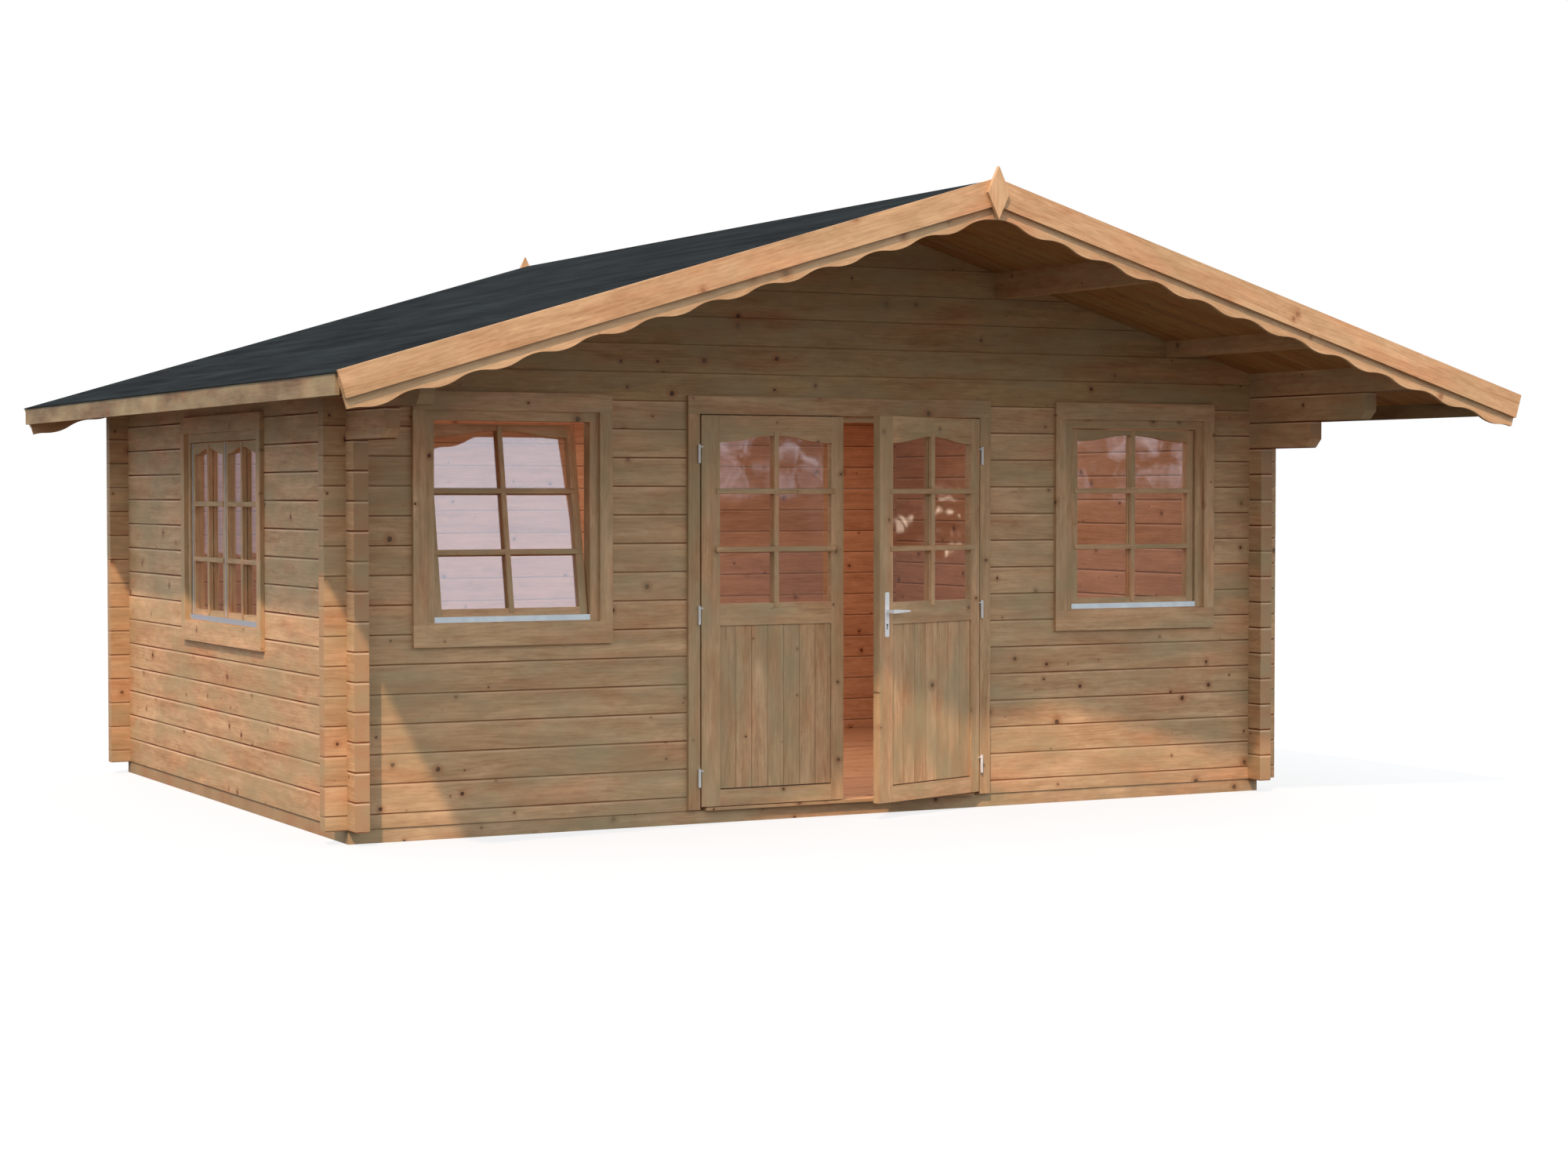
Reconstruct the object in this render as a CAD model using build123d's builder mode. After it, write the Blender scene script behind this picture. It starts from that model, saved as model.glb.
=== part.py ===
"""Log cabin with a deep front overhang, double doors and three windows.

Millimetres. The front looks along -Y, +X is to the right seen from the front, +Z is up.
The origin is the centre of the footprint at ground level.
"""

import os
from math import cos, radians, sin, tan

from build123d import *

os.makedirs("parts", exist_ok=True)

# Walls: machined logs laid on a base, crossed at the corners
wall_length = 5080.0
wall_depth = 3810.0
log_thickness = 70.0
course_pitch = 135.0
base_height = 63.0
base_setback = 6.0
base_rabbet = 41.0
side_courses = 16
edge_chamfer = 3.5
corner_overrun = 105.0
fit_gap = 0.3

# Corbels: the two side courses under the eaves that run out under the overhang
lower_corbel_reach = 515.0
upper_corbel_reach = 948.0
corbel_chamfer = 45.0

# Roof
roof_angle = 16.63
top_log_bevel = 29.5
front_overhang = 1425.0
back_overhang = 205.0
eave_overhang = 519.0
roof_board_thickness = 19.0
felt_thickness = 4.0
felt_lip = 5.0
inner_purlin_offset = 915.0
outer_purlin_inset = 572.0
purlin_least_height = 60.0

# Barge boards, fascias and finials
trim_thickness = 19.0
barge_width = 117.0
barge_stand = 10.0
scallop_drop = 53.5
scallop_swing = 10.5
scallop_pitch = 277.0
fascia_height = 88.0
finial_height = 236.0
finial_width = 112.0
finial_drop = 51.0

# Floor
bearer_width = 45.0
bearer_inset = 164.0
bearer_count = 5
floor_thickness = 19.0
floor_gap = 4.0
floor_rise = 12.0

# Windows, measured up from the bottom of the gap in the logs
front_window_inset = 807.0
front_window_width = 900.0
side_window_width = 1298.0
window_courses = 8
window_first_course = 6
casing_thickness = 21.0
casing_lap = 45.0
casing_inset = 20.0
casing_head_rise = 26.5
casing_head_width = 86.0
casing_foot_drop = 60.5
casing_foot_width = 104.0
jamb_width = 63.0
frame_head_height = 104.5
sill_height = 49.5
sash_gap = 5.0
sash_depth = 42.0
sash_setback = 14.0
sash_stile = 39.0
sash_foot_rail = 54.7
sash_head_rail = 28.0
arch_rise = 33.0
glass_thickness = 4.0
drip_height = 26.0
drip_thickness = 12.0
sash_tilt = 10.0
mullion_width = 10.0

# Doorway and the pair of doors
doorway_width = 1600.0
door_lining_gap = 3.0
door_jamb_width = 17.0
door_head_height = 59.5
door_stop = 31.0
door_casing_lap = 44.0
door_casing_foot_gap = 7.0
threshold_height = 15.0
threshold_nose = 22.0
leaf_side_gap = 7.0
leaf_meeting_gap = 7.0
leaf_foot_gap = 5.0
leaf_head_gap = 6.0
leaf_thickness = 40.0
leaf_proud = 24.0
leaf_left_stile = 98.0
leaf_right_stile = 67.0
leaf_foot_rail = 78.0
leaf_panel_height = 788.0
leaf_middle_rail = 104.0
leaf_head_rail = 95.0
panel_thickness = 18.0
hinge_side_gap = 14.0
hinge_proud = 30.0
hinge_radius = 7.0
hinge_flats = 8
hinge_pin_radius = 3.5
hinge_pin_play = 0.6
hinge_half_height = 44.0
hinge_foot_rise = 139.0
hinge_head_drop = 184.0
hinge_stud = 6.0
hinge_stud_lap = 6.0
right_leaf_ajar = 20.0
handle_plate_height = 216.0
handle_plate_width = 30.0
handle_plate_thickness = 3.0
handle_plate_drop = 124.0
handle_backset = 52.0
handle_plate_corner = 4.0
lever_rise = 11.0
lever_reach = 52.0
lever_length = 118.0
lever_neck = 16.0
lever_root_height = 18.0
lever_tip_height = 7.0
lever_thickness = 10.0

# Worked out from the sizes above
half_length = wall_length / 2
half_depth = wall_depth / 2
half_course = course_pitch / 2
roof_slope = tan(radians(roof_angle))
board_rise = roof_board_thickness / cos(radians(roof_angle))
wall_top = base_height + side_courses * course_pitch - top_log_bevel
ridge_underside = wall_top + half_length * roof_slope
ridge_top = ridge_underside + board_rise
roof_half_span = half_length + eave_overhang
roof_front = -half_depth - front_overhang
roof_back = half_depth + back_overhang
barge_apex = ridge_top + barge_stand / cos(radians(roof_angle))
window_bottom = base_height + half_course + window_first_course * course_pitch
side_window_bottom = window_bottom - half_course
window_height = window_courses * course_pitch
opening_top = window_bottom + window_height
front_window_offset = half_length - front_window_inset
floor_top = base_height + floor_rise
purlin_front = roof_front + 2 * (trim_thickness + fit_gap)
purlin_back = roof_back - 2 * (trim_thickness + fit_gap)

# The doorway's own sizes
door_casing_outer = doorway_width / 2 + door_casing_lap
door_casing_inner = doorway_width / 2 - door_jamb_width
door_casing_foot = base_height + door_casing_foot_gap
door_head = opening_top - door_head_height
leaf_edge = door_casing_inner - leaf_side_gap
leaf_width = leaf_edge - leaf_meeting_gap / 2
leaf_bottom = base_height + threshold_height + leaf_foot_gap
leaf_top = door_head - leaf_head_gap
leaf_panel_top = leaf_bottom + leaf_foot_rail + leaf_panel_height
leaf_glass_bottom = leaf_panel_top + leaf_middle_rail
leaf_glass_side_top = leaf_top - leaf_head_rail - arch_rise
hinge_offset = leaf_edge + hinge_side_gap
middle_rail_level = leaf_panel_top + leaf_middle_rail / 2
hinge_levels = (leaf_bottom + hinge_foot_rise, middle_rail_level, leaf_top - hinge_head_drop)
lever_height = middle_rail_level + lever_rise
handle_plate_bottom = lever_height - handle_plate_drop

front_face = Plane(origin=(0, -half_depth, 0), x_dir=(1, 0, 0), z_dir=(0, -1, 0))
left_face = Plane(origin=(-half_length, 0, 0), x_dir=(0, -1, 0), z_dir=(-1, 0, 0))


def underside(x):
    """Height of the roof boards' underside above a place across the cabin."""
    return ridge_underside - abs(x) * roof_slope


def purlin_level(x):
    """Highest joint between the gable's logs that leaves room for a purlin under the roof."""
    first_joint = base_height + half_course
    return first_joint + (underside(x) - purlin_least_height - first_joint) // course_pitch * course_pitch


outer_purlin_offset = half_length - outer_purlin_inset
purlin_centres = []
for offset in (-outer_purlin_offset, -inner_purlin_offset, inner_purlin_offset, outer_purlin_offset):
    purlin_centres.append((offset, purlin_level(offset) + half_course))


def timber(place, across, up, out):
    """One straight piece, by its (low, high) limits along a plane's own directions."""
    with Locations(place.location):
        with Locations([(sum(across) / 2, sum(up) / 2, sum(out) / 2)]):
            Box(across[1] - across[0], up[1] - up[0], out[1] - out[0])


def log_points(low, height):
    """Outline of one machined log with its chamfered edges."""
    half = log_thickness / 2
    bottom = low + fit_gap / 2
    top = low + height - fit_gap / 2
    points = [(-half, bottom + edge_chamfer), (-half, top - edge_chamfer), (edge_chamfer - half, top)]
    points += [(half - edge_chamfer, top), (half, top - edge_chamfer), (half, bottom + edge_chamfer)]
    points += [(half - edge_chamfer, bottom), (edge_chamfer - half, bottom)]
    return points


def logs(section, length, courses):
    """Logs of one length, each given by its bottom and its height."""
    with BuildSketch(section) as outline:
        for low, height in courses:
            with BuildLine():
                Polyline(log_points(low, height), close=True)
            make_face()
    extrude(outline.sketch, amount=length)


def gable_log_rows():
    """Bottom height of each course of the front and back walls, from the half log up."""
    rows = [base_height]
    level = base_height + half_course
    while level < ridge_underside - half_course / 2:
        rows.append(level)
        level += course_pitch
    return rows


def front_logs(y, left, right, levels):
    """Logs of the front or back wall, from left to right. The lowest one is a half log."""
    section = Plane(origin=(left, y, 0), x_dir=(0, 1, 0), z_dir=(1, 0, 0))
    courses = [(level, half_course if level == base_height else course_pitch) for level in levels]
    logs(section, right - left, courses)


def corner_notches(levels, sides, y):
    """Cut the seats for the side logs into the ends of a front or back wall's logs."""
    axis = half_length - log_thickness / 2
    with Locations([(side * axis, y, level) for side in sides for level in levels]):
        Box(
            log_thickness + 2 * fit_gap,
            log_thickness + 4 * fit_gap,
            half_course + fit_gap,
            mode=Mode.SUBTRACT,
        )


def cut_above_roof(front, back):
    """Take away whatever stands above the underside of the roof boards."""
    reach = half_length * 2
    with BuildSketch(Plane.XZ.offset(-back)) as sky:
        with BuildLine():
            Polyline(
                (0, ridge_underside - fit_gap),
                (reach, underside(reach) - fit_gap),
                (reach, ridge_top + reach),
                (-reach, ridge_top + reach),
                (-reach, underside(reach) - fit_gap),
                close=True,
            )
        make_face()
    extrude(sky.sketch, amount=back - front, mode=Mode.SUBTRACT)


def finish(part, name):
    """Name a finished piece and write it."""
    part.label = name
    export_step(part, f"parts/{name}.step")


rows = gable_log_rows()
low_rows = [row for row in rows if row < opening_top]
high_rows = [row for row in rows if row >= opening_top]
front_axis = -half_depth + log_thickness / 2
log_end = half_length + corner_overrun
front_seats = [base_height + half_course + step * course_pitch for step in range(len(low_rows))]

# Base beams, rabbeted at the corners so that the side beams' ends show
base_out_x = half_length - base_setback
base_out_y = half_depth - base_setback
base_in_x = base_out_x - log_thickness
base_in_y = base_out_y - log_thickness
rabbet_depth = log_thickness / 2
with BuildPart() as base_beams:
    with Locations([(side * (base_out_x + base_in_x) / 2, 0, base_height / 2) for side in (-1, 1)]):
        Box(log_thickness, 2 * base_out_y, base_height)
    rabbet_x = base_in_x + base_rabbet / 2
    with Locations([(i * rabbet_x, j * base_out_y, base_height / 2) for i in (-1, 1) for j in (-1, 1)]):
        Box(base_rabbet, 2 * rabbet_depth, base_height, mode=Mode.SUBTRACT)
    with Locations([(0, end * (base_out_y + base_in_y) / 2, base_height / 2) for end in (-1, 1)]):
        Box(2 * (base_in_x - fit_gap), log_thickness, base_height)
    tongue_depth = rabbet_depth - fit_gap
    with Locations([(0, end * (base_out_y - tongue_depth / 2), base_height / 2) for end in (-1, 1)]):
        Box(2 * (base_in_x + base_rabbet - fit_gap), tongue_depth, base_height)
finish(base_beams.part, "base_beams")

# Floor bearers lie on the ground between the base beams
bearer_top = floor_top - floor_thickness - fit_gap
bearer_spacing = 2 * (base_in_x - bearer_inset) / (bearer_count - 1)
with BuildPart() as floor_bearers:
    with Locations([(0, 0, bearer_top / 2)]):
        with GridLocations(bearer_spacing, 0, bearer_count, 1):
            Box(bearer_width, 2 * (base_in_y - fit_gap), bearer_top)
finish(floor_bearers.part, "floor_bearers")

with BuildPart() as floor:
    with Locations([(0, 0, floor_top - floor_thickness / 2)]):
        Box(2 * (base_in_x - floor_gap), 2 * (base_in_y - floor_gap), floor_thickness)
finish(floor.part, "floor")


def front_wall_part(side):
    """The logs between one corner and the doorway, cut for a window."""
    inner = doorway_width / 2
    left, right = (inner, log_end) if side > 0 else (-log_end, -inner)
    front_logs(front_axis, left, right, low_rows)
    corner_notches(front_seats, [side], front_axis)
    with Locations([(side * front_window_offset, front_axis, window_bottom + window_height / 2)]):
        Box(front_window_width, log_thickness * 2, window_height, mode=Mode.SUBTRACT)


with BuildPart() as front_wall_left:
    front_wall_part(-1)
finish(front_wall_left.part, "front_wall_left")

with BuildPart() as front_wall_right:
    front_wall_part(1)
finish(front_wall_right.part, "front_wall_right")


def gable_part(y):
    """The logs above the openings, cut off along the roof."""
    inner_end = half_length - log_thickness - fit_gap
    front_logs(y, -log_end, log_end, high_rows[:1])
    front_logs(y, -inner_end, inner_end, high_rows[1:])
    corner_notches([opening_top, opening_top + course_pitch], [-1, 1], y)
    cut_above_roof(y - log_thickness, y + log_thickness)
    with Locations([(x, y, z) for x, z in purlin_centres]):
        Box(
            log_thickness + 2 * fit_gap,
            log_thickness * 2,
            course_pitch + 2 * fit_gap,
            mode=Mode.SUBTRACT,
        )


with BuildPart() as front_gable:
    gable_part(front_axis)
finish(front_gable.part, "front_gable")

with BuildPart() as back_wall:
    front_logs(-front_axis, -log_end, log_end, low_rows)
    corner_notches(front_seats, [-1, 1], -front_axis)
finish(back_wall.part, "back_wall")

with BuildPart() as back_gable:
    gable_part(-front_axis)
finish(back_gable.part, "back_gable")


def side_wall_part(side, window_width):
    """A side wall: its top courses run out under the front overhang."""
    axis = side * (half_length - log_thickness / 2)
    levels = [base_height + course * course_pitch for course in range(side_courses)]
    plain_end = half_depth + corner_overrun
    runs = [
        (plain_end, plain_end, levels[:-3]),
        (half_depth + lower_corbel_reach, plain_end, levels[-3:-2]),
        (half_depth + upper_corbel_reach, plain_end, levels[-2:-1]),
        (-purlin_front, purlin_back, levels[-1:]),
    ]
    for front, back, lows in runs:
        section = Plane(origin=(axis, -front, 0), x_dir=(-1, 0, 0), z_dir=(0, 1, 0))
        logs(section, front + back, [(low, course_pitch) for low in lows])
    seats = [(axis, end * (half_depth - log_thickness / 2), level) for end in (-1, 1) for level in levels]
    with Locations(seats):
        Box(
            log_thickness + 4 * fit_gap,
            log_thickness + 2 * fit_gap,
            half_course + fit_gap,
            mode=Mode.SUBTRACT,
        )
    corners = [
        (axis, -half_depth - lower_corbel_reach, levels[-3]),
        (axis, -half_depth - upper_corbel_reach, levels[-2]),
    ]
    with Locations(corners):
        Box(
            log_thickness * 2,
            corbel_chamfer * 2**0.5,
            corbel_chamfer * 2**0.5,
            rotation=(45, 0, 0),
            mode=Mode.SUBTRACT,
        )
    cut_above_roof(roof_front, roof_back)
    if window_width:
        with Locations([(axis, 0, side_window_bottom + window_height / 2)]):
            Box(log_thickness * 2, window_width, window_height, mode=Mode.SUBTRACT)


with BuildPart() as left_wall:
    side_wall_part(-1, side_window_width)
finish(left_wall.part, "left_wall")

with BuildPart() as right_wall:
    side_wall_part(1, 0)
finish(right_wall.part, "right_wall")

# Purlins run the whole length of the roof, with their tops cut to its slope
with BuildPart() as purlins:
    with Locations([(x, (purlin_front + purlin_back) / 2, z) for x, z in purlin_centres]):
        Box(log_thickness, purlin_back - purlin_front, course_pitch)
    cut_above_roof(purlin_front, purlin_back)
finish(purlins.part, "purlins")


def roof_sheet(side, low, high, inner, outer, front, back):
    """A sheet that follows one slope, between two heights above the boards' underside."""
    with BuildSketch(Plane.XZ.offset(-back)) as outline:
        with BuildLine():
            Polyline(
                (side * inner, underside(inner) + low),
                (side * outer, underside(outer) + low),
                (side * outer, underside(outer) + high),
                (side * inner, underside(inner) + high),
                close=True,
            )
        make_face()
    extrude(outline.sketch, amount=back - front)


board_front = roof_front + trim_thickness + fit_gap
board_back = roof_back - trim_thickness - fit_gap
board_outer = roof_half_span - trim_thickness - fit_gap
felt_rise = board_rise + fit_gap
felt_top = felt_rise + felt_thickness / cos(radians(roof_angle))

with BuildPart() as roof_boards_left:
    roof_sheet(-1, 0, board_rise, fit_gap / 2, board_outer, board_front, board_back)
finish(roof_boards_left.part, "roof_boards_left")

with BuildPart() as roof_boards_right:
    roof_sheet(1, 0, board_rise, fit_gap / 2, board_outer, board_front, board_back)
finish(roof_boards_right.part, "roof_boards_right")

felt_outer = roof_half_span + felt_lip
with BuildPart() as roof_felt_left:
    roof_sheet(-1, felt_rise, felt_top, fit_gap / 2, felt_outer, board_front, board_back)
finish(roof_felt_left.part, "roof_felt_left")

with BuildPart() as roof_felt_right:
    roof_sheet(1, felt_rise, felt_top, fit_gap / 2, felt_outer, board_front, board_back)
finish(roof_felt_right.part, "roof_felt_right")

# Fascias close the board ends along both eaves
with BuildPart() as eave_fascias:
    for side in (-1, 1):
        x_in = roof_half_span - trim_thickness
        bottom = underside(roof_half_span) + board_rise - fascia_height
        with BuildSketch(Plane.XZ.offset(-purlin_back)) as outline:
            with BuildLine():
                Polyline(
                    (side * x_in, bottom),
                    (side * roof_half_span, bottom),
                    (side * roof_half_span, underside(roof_half_span) + board_rise),
                    (side * x_in, underside(x_in) + board_rise),
                    close=True,
                )
            make_face()
        extrude(outline.sketch, amount=purlin_back - purlin_front)
finish(eave_fascias.part, "eave_fascias")


def slope_point(side, along, below):
    """A point of a gable end, by its distance down the slope and square to it."""
    x = along * cos(radians(roof_angle)) - below * sin(radians(roof_angle))
    z = barge_apex - along * sin(radians(roof_angle)) - below * cos(radians(roof_angle))
    return (side * x, z)


slope_length = roof_half_span / cos(radians(roof_angle))


def barge_pair(y_front, drop):
    """The two plain boards of a gable end, mitred at the ridge, with their top edge lowered."""
    for side in (-1, 1):
        with BuildSketch(Plane.XZ.offset(-y_front - trim_thickness)) as outline:
            with BuildLine():
                Polyline(
                    (side * fit_gap / 2, barge_apex - drop / cos(radians(roof_angle))),
                    slope_point(side, slope_length, drop),
                    slope_point(side, slope_length, barge_width),
                    (side * fit_gap / 2, barge_apex - barge_width / cos(radians(roof_angle))),
                    close=True,
                )
            make_face()
        extrude(outline.sketch, amount=trim_thickness)


def scallop_point(side, along, swing):
    """A point of the waved edge, by its swing below the edge's middle line."""
    return slope_point(side, along, barge_width + scallop_drop + swing)


def scalloped_pair(y_front):
    """The two waved boards behind the plain ones, level where they meet at the ridge."""
    top = barge_stand + roof_board_thickness + fit_gap
    halves = 2 * int(slope_length / scallop_pitch) + 1
    half_wave = slope_length / halves
    radius = (half_wave**2 / 4 + scallop_swing**2) / (2 * scallop_swing)
    shoulder = (radius**2 - half_wave**2 / 16) ** 0.5 - radius + scallop_swing
    for side in (-1, 1):
        ridge_x = side * fit_gap / 2
        ridge_top_point = (ridge_x, barge_apex - top / cos(radians(roof_angle)))
        first = scallop_point(side, half_wave / 2, 0)
        last = slope_length - half_wave / 2
        with BuildSketch(Plane.XZ.offset(-y_front - trim_thickness)) as outline:
            with BuildLine():
                Polyline(first, (ridge_x, first[1]), ridge_top_point)
                Line(ridge_top_point, slope_point(side, slope_length, top))
                Line(slope_point(side, slope_length, top), scallop_point(side, slope_length, -scallop_swing))
                ThreePointArc(
                    scallop_point(side, slope_length, -scallop_swing),
                    scallop_point(side, slope_length - half_wave / 4, -shoulder),
                    scallop_point(side, last, 0),
                )
                for step in range(halves - 1, 0, -1):
                    swing = scallop_swing if step % 2 == 0 else -scallop_swing
                    ThreePointArc(
                        scallop_point(side, (step + 0.5) * half_wave, 0),
                        scallop_point(side, step * half_wave, swing),
                        scallop_point(side, (step - 0.5) * half_wave, 0),
                    )
            make_face()
        extrude(outline.sketch, amount=trim_thickness)


with BuildPart() as front_barge_boards:
    barge_pair(roof_front, 0)
finish(front_barge_boards.part, "front_barge_boards")

# The back pair ends level with the roof boards, so that it doesn't show over the felt
with BuildPart() as back_barge_boards:
    barge_pair(roof_back - trim_thickness, barge_stand)
finish(back_barge_boards.part, "back_barge_boards")

with BuildPart() as front_scalloped_boards:
    scalloped_pair(roof_front + trim_thickness + fit_gap)
finish(front_scalloped_boards.part, "front_scalloped_boards")

with BuildPart() as back_scalloped_boards:
    scalloped_pair(roof_back - 2 * trim_thickness - fit_gap)
finish(back_scalloped_boards.part, "back_scalloped_boards")

# Diamond boards cover the mitres at both ends of the ridge
with BuildPart() as finials:
    for y_face in (roof_front - fit_gap, roof_back + fit_gap + trim_thickness):
        tip = barge_apex + finial_drop
        with BuildSketch(Plane.XZ.offset(-y_face)) as outline:
            with BuildLine():
                Polyline(
                    (0, tip),
                    (finial_width / 2, tip - finial_height / 2),
                    (0, tip - finial_height),
                    (-finial_width / 2, tip - finial_height / 2),
                    close=True,
                )
            make_face()
        extrude(outline.sketch, amount=trim_thickness)
finish(finials.part, "finials")

# Window pieces, each in the plane of its wall's outer face


def window_casing(place, centre, width, bottom):
    """Four boards around the outside of a window."""
    outer = width / 2 + casing_lap
    inner = width / 2 - casing_inset
    foot = bottom - casing_foot_drop
    head_low = bottom + window_height + casing_head_rise - casing_head_width
    out = (fit_gap, casing_thickness)
    timber(place, (centre - outer, centre + outer), (head_low, head_low + casing_head_width), out)
    timber(place, (centre - inner, centre + inner), (foot, foot + casing_foot_width), out)
    for side in (-1, 1):
        limits = sorted((centre + side * inner + side * fit_gap, centre + side * outer))
        timber(place, limits, (foot, head_low - fit_gap), out)


def window_frame(place, centre, width, bottom):
    """The lining of the gap in the logs: two jambs, a head and a sill."""
    half = width / 2 - fit_gap
    clear = width / 2 - jamb_width
    out = (-log_thickness, 0)
    head_low = bottom + window_height - frame_head_height - fit_gap
    timber(place, (centre - half, centre + half), (head_low, head_low + frame_head_height), out)
    timber(place, (centre - half, centre + half), (bottom + fit_gap, bottom + sill_height), out)
    for side in (-1, 1):
        limits = sorted((centre + side * clear, centre + side * half))
        timber(place, limits, (bottom + sill_height + fit_gap, head_low - fit_gap), out)


def arch(limits, level):
    """Three arcs that swell up from a level in the middle, drawn from right to left."""
    middle = sum(limits) / 2
    quarter = (limits[1] - limits[0]) / 4
    radius = (quarter**2 + arch_rise**2 / 4) / arch_rise
    eighth = radius - (radius**2 - quarter**2 / 4) ** 0.5
    low_turn = level + eighth
    half_rise = level + arch_rise / 2
    ThreePointArc((limits[1], level), (limits[1] - quarter / 2, low_turn), (middle + quarter, half_rise))
    ThreePointArc((middle + quarter, half_rise), (middle, level + arch_rise), (middle - quarter, half_rise))
    ThreePointArc((middle - quarter, half_rise), (limits[0] + quarter / 2, low_turn), (limits[0], level))


def arched_rail(place, limits, top, low, depth):
    """A head rail with an arched lower edge."""
    with BuildSketch(place) as outline:
        with BuildLine():
            Polyline((limits[0], low), (limits[0], top), (limits[1], top), (limits[1], low))
            arch(limits, low)
        make_face()
    extrude(outline.sketch, amount=-depth)


def arched_pane(place, limits, up):
    """A sheet of glass about a plane, with an arched upper edge."""
    with BuildSketch(place) as outline:
        with BuildLine():
            Polyline((limits[0], up[1]), (limits[0], up[0]), (limits[1], up[0]), (limits[1], up[1]))
            arch(limits, up[1])
        make_face()
    extrude(outline.sketch, amount=glass_thickness / 2, both=True)


def sash_limits(centre, width, bottom):
    """Left, right, bottom and top of a sash that stands on its sill."""
    half = width / 2 - jamb_width - sash_gap
    low = bottom + sill_height + fit_gap
    top = bottom + window_height - frame_head_height - sash_gap
    return centre - half, centre + half, low, top


def sash(place, left, right, low, top):
    """Two stiles and two rails; the head rail is arched."""
    out = (-sash_depth, 0)
    for limits in ((left, left + sash_stile), (right - sash_stile, right)):
        timber(place, limits, (low, top), out)
    inner = (left + sash_stile + fit_gap, right - sash_stile - fit_gap)
    timber(place, inner, (low, low + sash_foot_rail), out)
    arched_rail(place, inner, top, top - sash_head_rail - arch_rise, sash_depth)


def sash_pane(place, left, right, low, top):
    """The glass of one sash, set between its members' faces."""
    across = (left + sash_stile + fit_gap, right - sash_stile - fit_gap)
    up = (low + sash_foot_rail + fit_gap, top - sash_head_rail - arch_rise - fit_gap)
    arched_pane(place.offset(-sash_depth / 2), across, up)


def tilted(place, height):
    """A wall plane turned about a level line, so that what stands on it leans inwards."""
    pivot = place.location * Location((0, height, -sash_setback - sash_depth))
    lean = pivot * Location((0, 0, 0), (-sash_tilt, 0, 0)) * Location((0, -height, sash_depth))
    return Plane(lean)


sash_face = front_face.offset(-sash_setback)
side_sash_face = left_face.offset(-sash_setback)
left_sash_limits = sash_limits(-front_window_offset, front_window_width, window_bottom)
right_sash_limits = sash_limits(front_window_offset, front_window_width, window_bottom)
side_span = sash_limits(0, side_window_width, side_window_bottom)
tilted_face = tilted(front_face, left_sash_limits[2])

with BuildPart() as left_window_casing:
    window_casing(front_face, -front_window_offset, front_window_width, window_bottom)
finish(left_window_casing.part, "left_window_casing")

with BuildPart() as right_window_casing:
    window_casing(front_face, front_window_offset, front_window_width, window_bottom)
finish(right_window_casing.part, "right_window_casing")

with BuildPart() as side_window_casing:
    window_casing(left_face, 0, side_window_width, side_window_bottom)
finish(side_window_casing.part, "side_window_casing")

with BuildPart() as left_window_frame:
    window_frame(front_face, -front_window_offset, front_window_width, window_bottom)
finish(left_window_frame.part, "left_window_frame")

with BuildPart() as right_window_frame:
    window_frame(front_face, front_window_offset, front_window_width, window_bottom)
finish(right_window_frame.part, "right_window_frame")

with BuildPart() as side_window_frame:
    window_frame(left_face, 0, side_window_width, side_window_bottom)
finish(side_window_frame.part, "side_window_frame")

with BuildPart() as left_window_sash:
    sash(tilted_face, *left_sash_limits)
finish(left_window_sash.part, "left_window_sash")

with BuildPart() as left_window_glass:
    sash_pane(tilted_face, *left_sash_limits)
finish(left_window_glass.part, "left_window_glass")

with BuildPart() as right_window_sash:
    sash(sash_face, *right_sash_limits)
finish(right_window_sash.part, "right_window_sash")

with BuildPart() as right_window_glass:
    sash_pane(sash_face, *right_sash_limits)
finish(right_window_glass.part, "right_window_glass")

side_halves = (
    (side_span[0], -mullion_width / 2, side_span[2], side_span[3]),
    (mullion_width / 2, side_span[1], side_span[2], side_span[3]),
)
with BuildPart() as side_window_sashes:
    for limits in side_halves:
        sash(side_sash_face, *limits)
finish(side_window_sashes.part, "side_window_sashes")

with BuildPart() as side_window_glass:
    for limits in side_halves:
        sash_pane(side_sash_face, *limits)
finish(side_window_glass.part, "side_window_glass")

# Light metal drip strips on the sills
with BuildPart() as window_drip_strips:
    drips = (
        (front_face, -front_window_offset, front_window_width, window_bottom),
        (front_face, front_window_offset, front_window_width, window_bottom),
        (left_face, 0, side_window_width, side_window_bottom),
    )
    for place, centre, width, bottom in drips:
        half = width / 2 - jamb_width - fit_gap
        low = bottom + sill_height + fit_gap
        timber(place, (centre - half, centre + half), (low, low + drip_height), (-drip_thickness, 0))
finish(window_drip_strips.part, "window_drip_strips")

# Doorway: lining with a stop, casing boards and a threshold
leaf_back = leaf_proud - leaf_thickness
stop_face = leaf_back - sash_gap
lining_outer = doorway_width / 2 - door_lining_gap
jamb_inner = door_casing_inner - door_stop
head_top = opening_top - fit_gap
jamb_up = (base_height + fit_gap, door_head - door_stop - fit_gap)
behind = (-log_thickness, stop_face)
before = (stop_face, 0)
with BuildPart() as door_frame:
    for side in (-1, 1):
        timber(front_face, sorted((side * jamb_inner, side * lining_outer)), jamb_up, behind)
        timber(front_face, sorted((side * door_casing_inner, side * lining_outer)), jamb_up, before)
    timber(front_face, (-lining_outer, lining_outer), (door_head - door_stop, head_top), behind)
    timber(front_face, (-lining_outer, lining_outer), (door_head, head_top), before)
finish(door_frame.part, "door_frame")

with BuildPart() as door_casing:
    out = (fit_gap, casing_thickness)
    for side in (-1, 1):
        limits = sorted((side * door_casing_inner, side * door_casing_outer))
        timber(front_face, limits, (door_casing_foot, door_head - fit_gap), out)
    head = (door_head, door_head + casing_head_width)
    timber(front_face, (-door_casing_outer, door_casing_outer), head, out)
finish(door_casing.part, "door_casing")

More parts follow.
